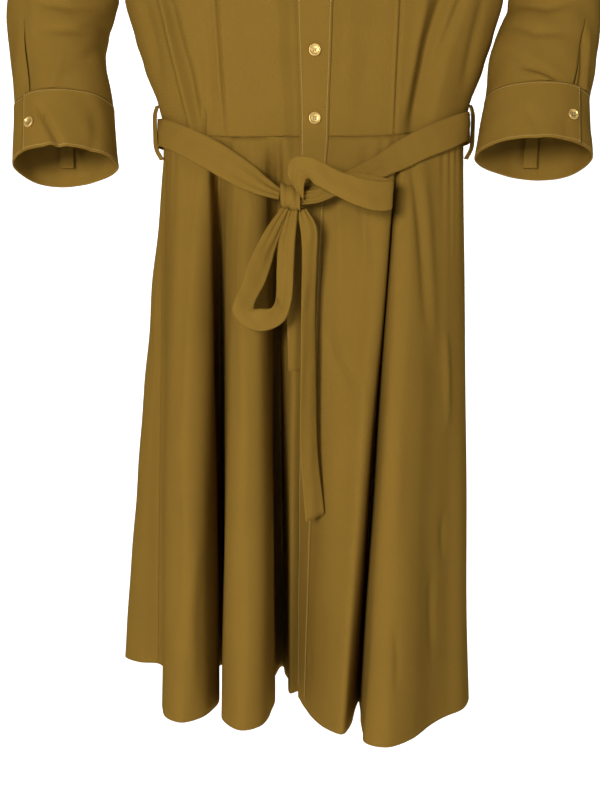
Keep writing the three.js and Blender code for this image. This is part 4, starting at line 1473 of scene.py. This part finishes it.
class SHIRTDRESS_OT_buttons(ShirtDressOperator, bpy.types.Operator):
    """Builds the front buttons and the cuff buttons"""

    bl_idname = "shirtdress.buttons"
    bl_label = "Buttons"

    def execute(self, context):
        front = (0, -1, 0)
        collar = BUILT["collar_stand"]
        columns = collar.points.shape[1] - 1
        lap = STAND_LAP / (360 + 2 * STAND_LAP)
        sew_button("front_button_1", collar, columns * lap, 5, BUTTON_RADIUS, front)
        placket = BUILT["front_band"]
        middle = placket.points[:, placket.points.shape[1] // 2, 2]
        for n, z in enumerate(BODICE_BUTTONS + SKIRT_BUTTONS, 2):
            row = int(np.argmin(np.abs(middle[: BAND_ROWS_ABOVE + BAND_ROWS_BELOW] - z)))
            sew_button(f"front_button_{n}", placket, BAND_COLUMNS // 2, row, BUTTON_RADIUS, front)
        for name, (side, *_rest) in SIDES.items():
            cuff = BUILT[f"cuff_{name}"]
            column = (cuff.points.shape[1] - 1) * CUFF_BUTTON_RUN / CUFF_RUN
            sew_button(f"cuff_button_{name}", cuff, column, 16.5, CUFF_BUTTON_RADIUS, (side, -1, 0))
        return {"FINISHED"}


class SHIRTDRESS_OT_stitching(ShirtDressOperator, bpy.types.Operator):
    """Builds the topstitching along the band, the collar and the cuffs"""

    bl_idname = "shirtdress.stitching"
    bl_label = "Topstitching"

    def execute(self, context):
        placket = BUILT["front_band"]
        down = slice(0, BAND_ROWS_ABOVE + BAND_ROWS_BELOW)
        edges = [placket.beside_column(BAND_INSET, end, down) for end in (False, True)]
        stitching("stitching-band", resting(placket, edges))
        lines = []
        for name in SIDES:
            cuff = BUILT[f"cuff_{name}"]
            rims = [cuff.beside_row(CUFF_TOP_INSET), cuff.beside_row(CUFF_MOUTH_INSET, True)]
            lines += resting(cuff, rims + [cuff.beside_column(CUFF_END_INSET, True)])
        stitching("stitching-cuffs", lines)
        collar = BUILT["collar_fall"]
        ends = [collar.beside_column(COLLAR_INSET), collar.beside_column(COLLAR_INSET, True)]
        stitching("stitching-collar", resting(collar, [collar.beside_row(COLLAR_INSET, True)] + ends))
        return {"FINISHED"}


# ---- Stage ----
WORLD_LIGHT = 0.1
LIGHTS = [
    # name, place, towards, size, power
    ("key", (-1.0, -2.8, -0.3), (0, 0, -0.78), 0.8, 82),
    ("fill", (1.9, -2.2, -0.2), (0, 0, -0.6), 1.6, 14),
    ("top", (0.2, -0.6, 1.9), (0, 0, -0.4), 1.2, 4),
    ("wall", (0.0, 1.0, 1.8), (0, 3.4, -0.9), 2.4, 160),
]
FLOOR_Z = -1.55
FLOOR_FRONT = -3.2
FLOOR_BACK = 1.9
CURVE_RADIUS = 1.1
WALL_TOP = 3.2
STAGE_HALF = 5.0
CAMERA_AT = (-0.017, -1.318, -0.620)
CAMERA_DOWN = 5.07
CAMERA_LENS = 47.77


class SHIRTDRESS_OT_stage(ShirtDressOperator, bpy.types.Operator):
    """Builds the floor and backdrop, the lights and the camera"""

    bl_idname = "shirtdress.stage"
    bl_label = "Stage"

    def execute(self, context):
        scene = context.scene
        backdrop()
        world = bpy.data.worlds.new("studio")
        scene.world = world
        world.use_nodes = True
        world.node_tree.nodes["Background"].inputs["Color"].default_value = (1, 1, 1, 1)
        world.node_tree.nodes["Background"].inputs["Strength"].default_value = WORLD_LIGHT
        for name, place, towards, size, power in LIGHTS:
            lamp = bpy.data.lights.new(name, "AREA")
            lamp.shape = "DISK"
            lamp.size = size
            lamp.energy = power
            holder = bpy.data.objects.new(name, lamp)
            holder.location = place
            holder.rotation_euler = (Vector(towards) - Vector(place)).to_track_quat("-Z", "Y").to_euler()
            context.collection.objects.link(holder)
        camera = bpy.data.cameras.new("camera")
        camera.lens = CAMERA_LENS
        camera.sensor_width = 36
        camera.dof.use_dof = False
        camera.clip_start = 0.05
        holder = bpy.data.objects.new("camera", camera)
        holder.location = CAMERA_AT
        holder.rotation_euler = (math.radians(90 - CAMERA_DOWN), 0, 0)
        context.collection.objects.link(holder)
        scene.camera = holder
        scene.view_settings.view_transform = "Standard"
        return {"FINISHED"}


def backdrop():
    """A pale floor that curves up into a wall."""
    mesh = bpy.data.meshes.new("backdrop")
    bm = bmesh.new()
    line = [(FLOOR_FRONT, FLOOR_Z), (FLOOR_BACK, FLOOR_Z)]
    for k in range(1, 17):
        angle = math.pi / 2 * k / 16
        y = FLOOR_BACK + CURVE_RADIUS * math.sin(angle)
        line.append((y, FLOOR_Z + CURVE_RADIUS * (1 - math.cos(angle))))
    line.append((FLOOR_BACK + CURVE_RADIUS, WALL_TOP))
    verts = [bm.verts.new((-STAGE_HALF, y, z)) for y, z in line]
    edges = [bm.edges.new(pair) for pair in zip(verts, verts[1:])]
    made = bmesh.ops.extrude_edge_only(bm, edges=edges)
    moved = [g for g in made["geom"] if isinstance(g, bmesh.types.BMVert)]
    bmesh.ops.translate(bm, verts=moved, vec=(2 * STAGE_HALF, 0, 0))
    bmesh.ops.recalc_face_normals(bm, faces=bm.faces)
    for face in bm.faces:
        face.smooth = True
    bm.to_mesh(mesh)
    bm.free()
    mesh.materials.append(plain("pale backdrop", (0.86, 0.86, 0.86), 0.9))
    floor = bpy.data.objects.new("backdrop", mesh)
    bpy.context.collection.objects.link(floor)


PIECE_OPERATORS = [
    SHIRTDRESS_OT_bodice,
    SHIRTDRESS_OT_skirt,
    SHIRTDRESS_OT_band,
    SHIRTDRESS_OT_sleeves,
    SHIRTDRESS_OT_cuffs,
    SHIRTDRESS_OT_roll_tabs,
    SHIRTDRESS_OT_collar,
    SHIRTDRESS_OT_belt,
    SHIRTDRESS_OT_belt_loops,
    SHIRTDRESS_OT_buttons,
    SHIRTDRESS_OT_stitching,
    SHIRTDRESS_OT_stage,
]


class SHIRTDRESS_PT_panel(bpy.types.Panel):
    """Lists the dress's sizes and its pieces"""

    bl_idname = "SHIRTDRESS_PT_panel"
    bl_label = "Shirt dress"
    bl_space_type = "VIEW_3D"
    bl_region_type = "UI"
    bl_category = "Shirt dress"

    def draw(self, context):
        column = self.layout.column()
        for name in ShirtDressSettings.__annotations__:
            column.prop(context.scene.shirt_dress, name)
        for operator in PIECE_OPERATORS:
            column.operator(operator.bl_idname)


CLASSES = [ShirtDressSettings, *PIECE_OPERATORS, SHIRTDRESS_PT_panel]


def register():
    for cls in CLASSES:
        bpy.utils.register_class(cls)
    bpy.types.Scene.shirt_dress = bpy.props.PointerProperty(type=ShirtDressSettings)


def unregister():
    del bpy.types.Scene.shirt_dress
    for cls in reversed(CLASSES):
        bpy.utils.unregister_class(cls)


def main():
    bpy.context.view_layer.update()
    register()
    for operator in PIECE_OPERATORS:
        getattr(bpy.ops.shirtdress, operator.bl_idname.split(".")[1])()


if __name__ == "__main__":
    main()
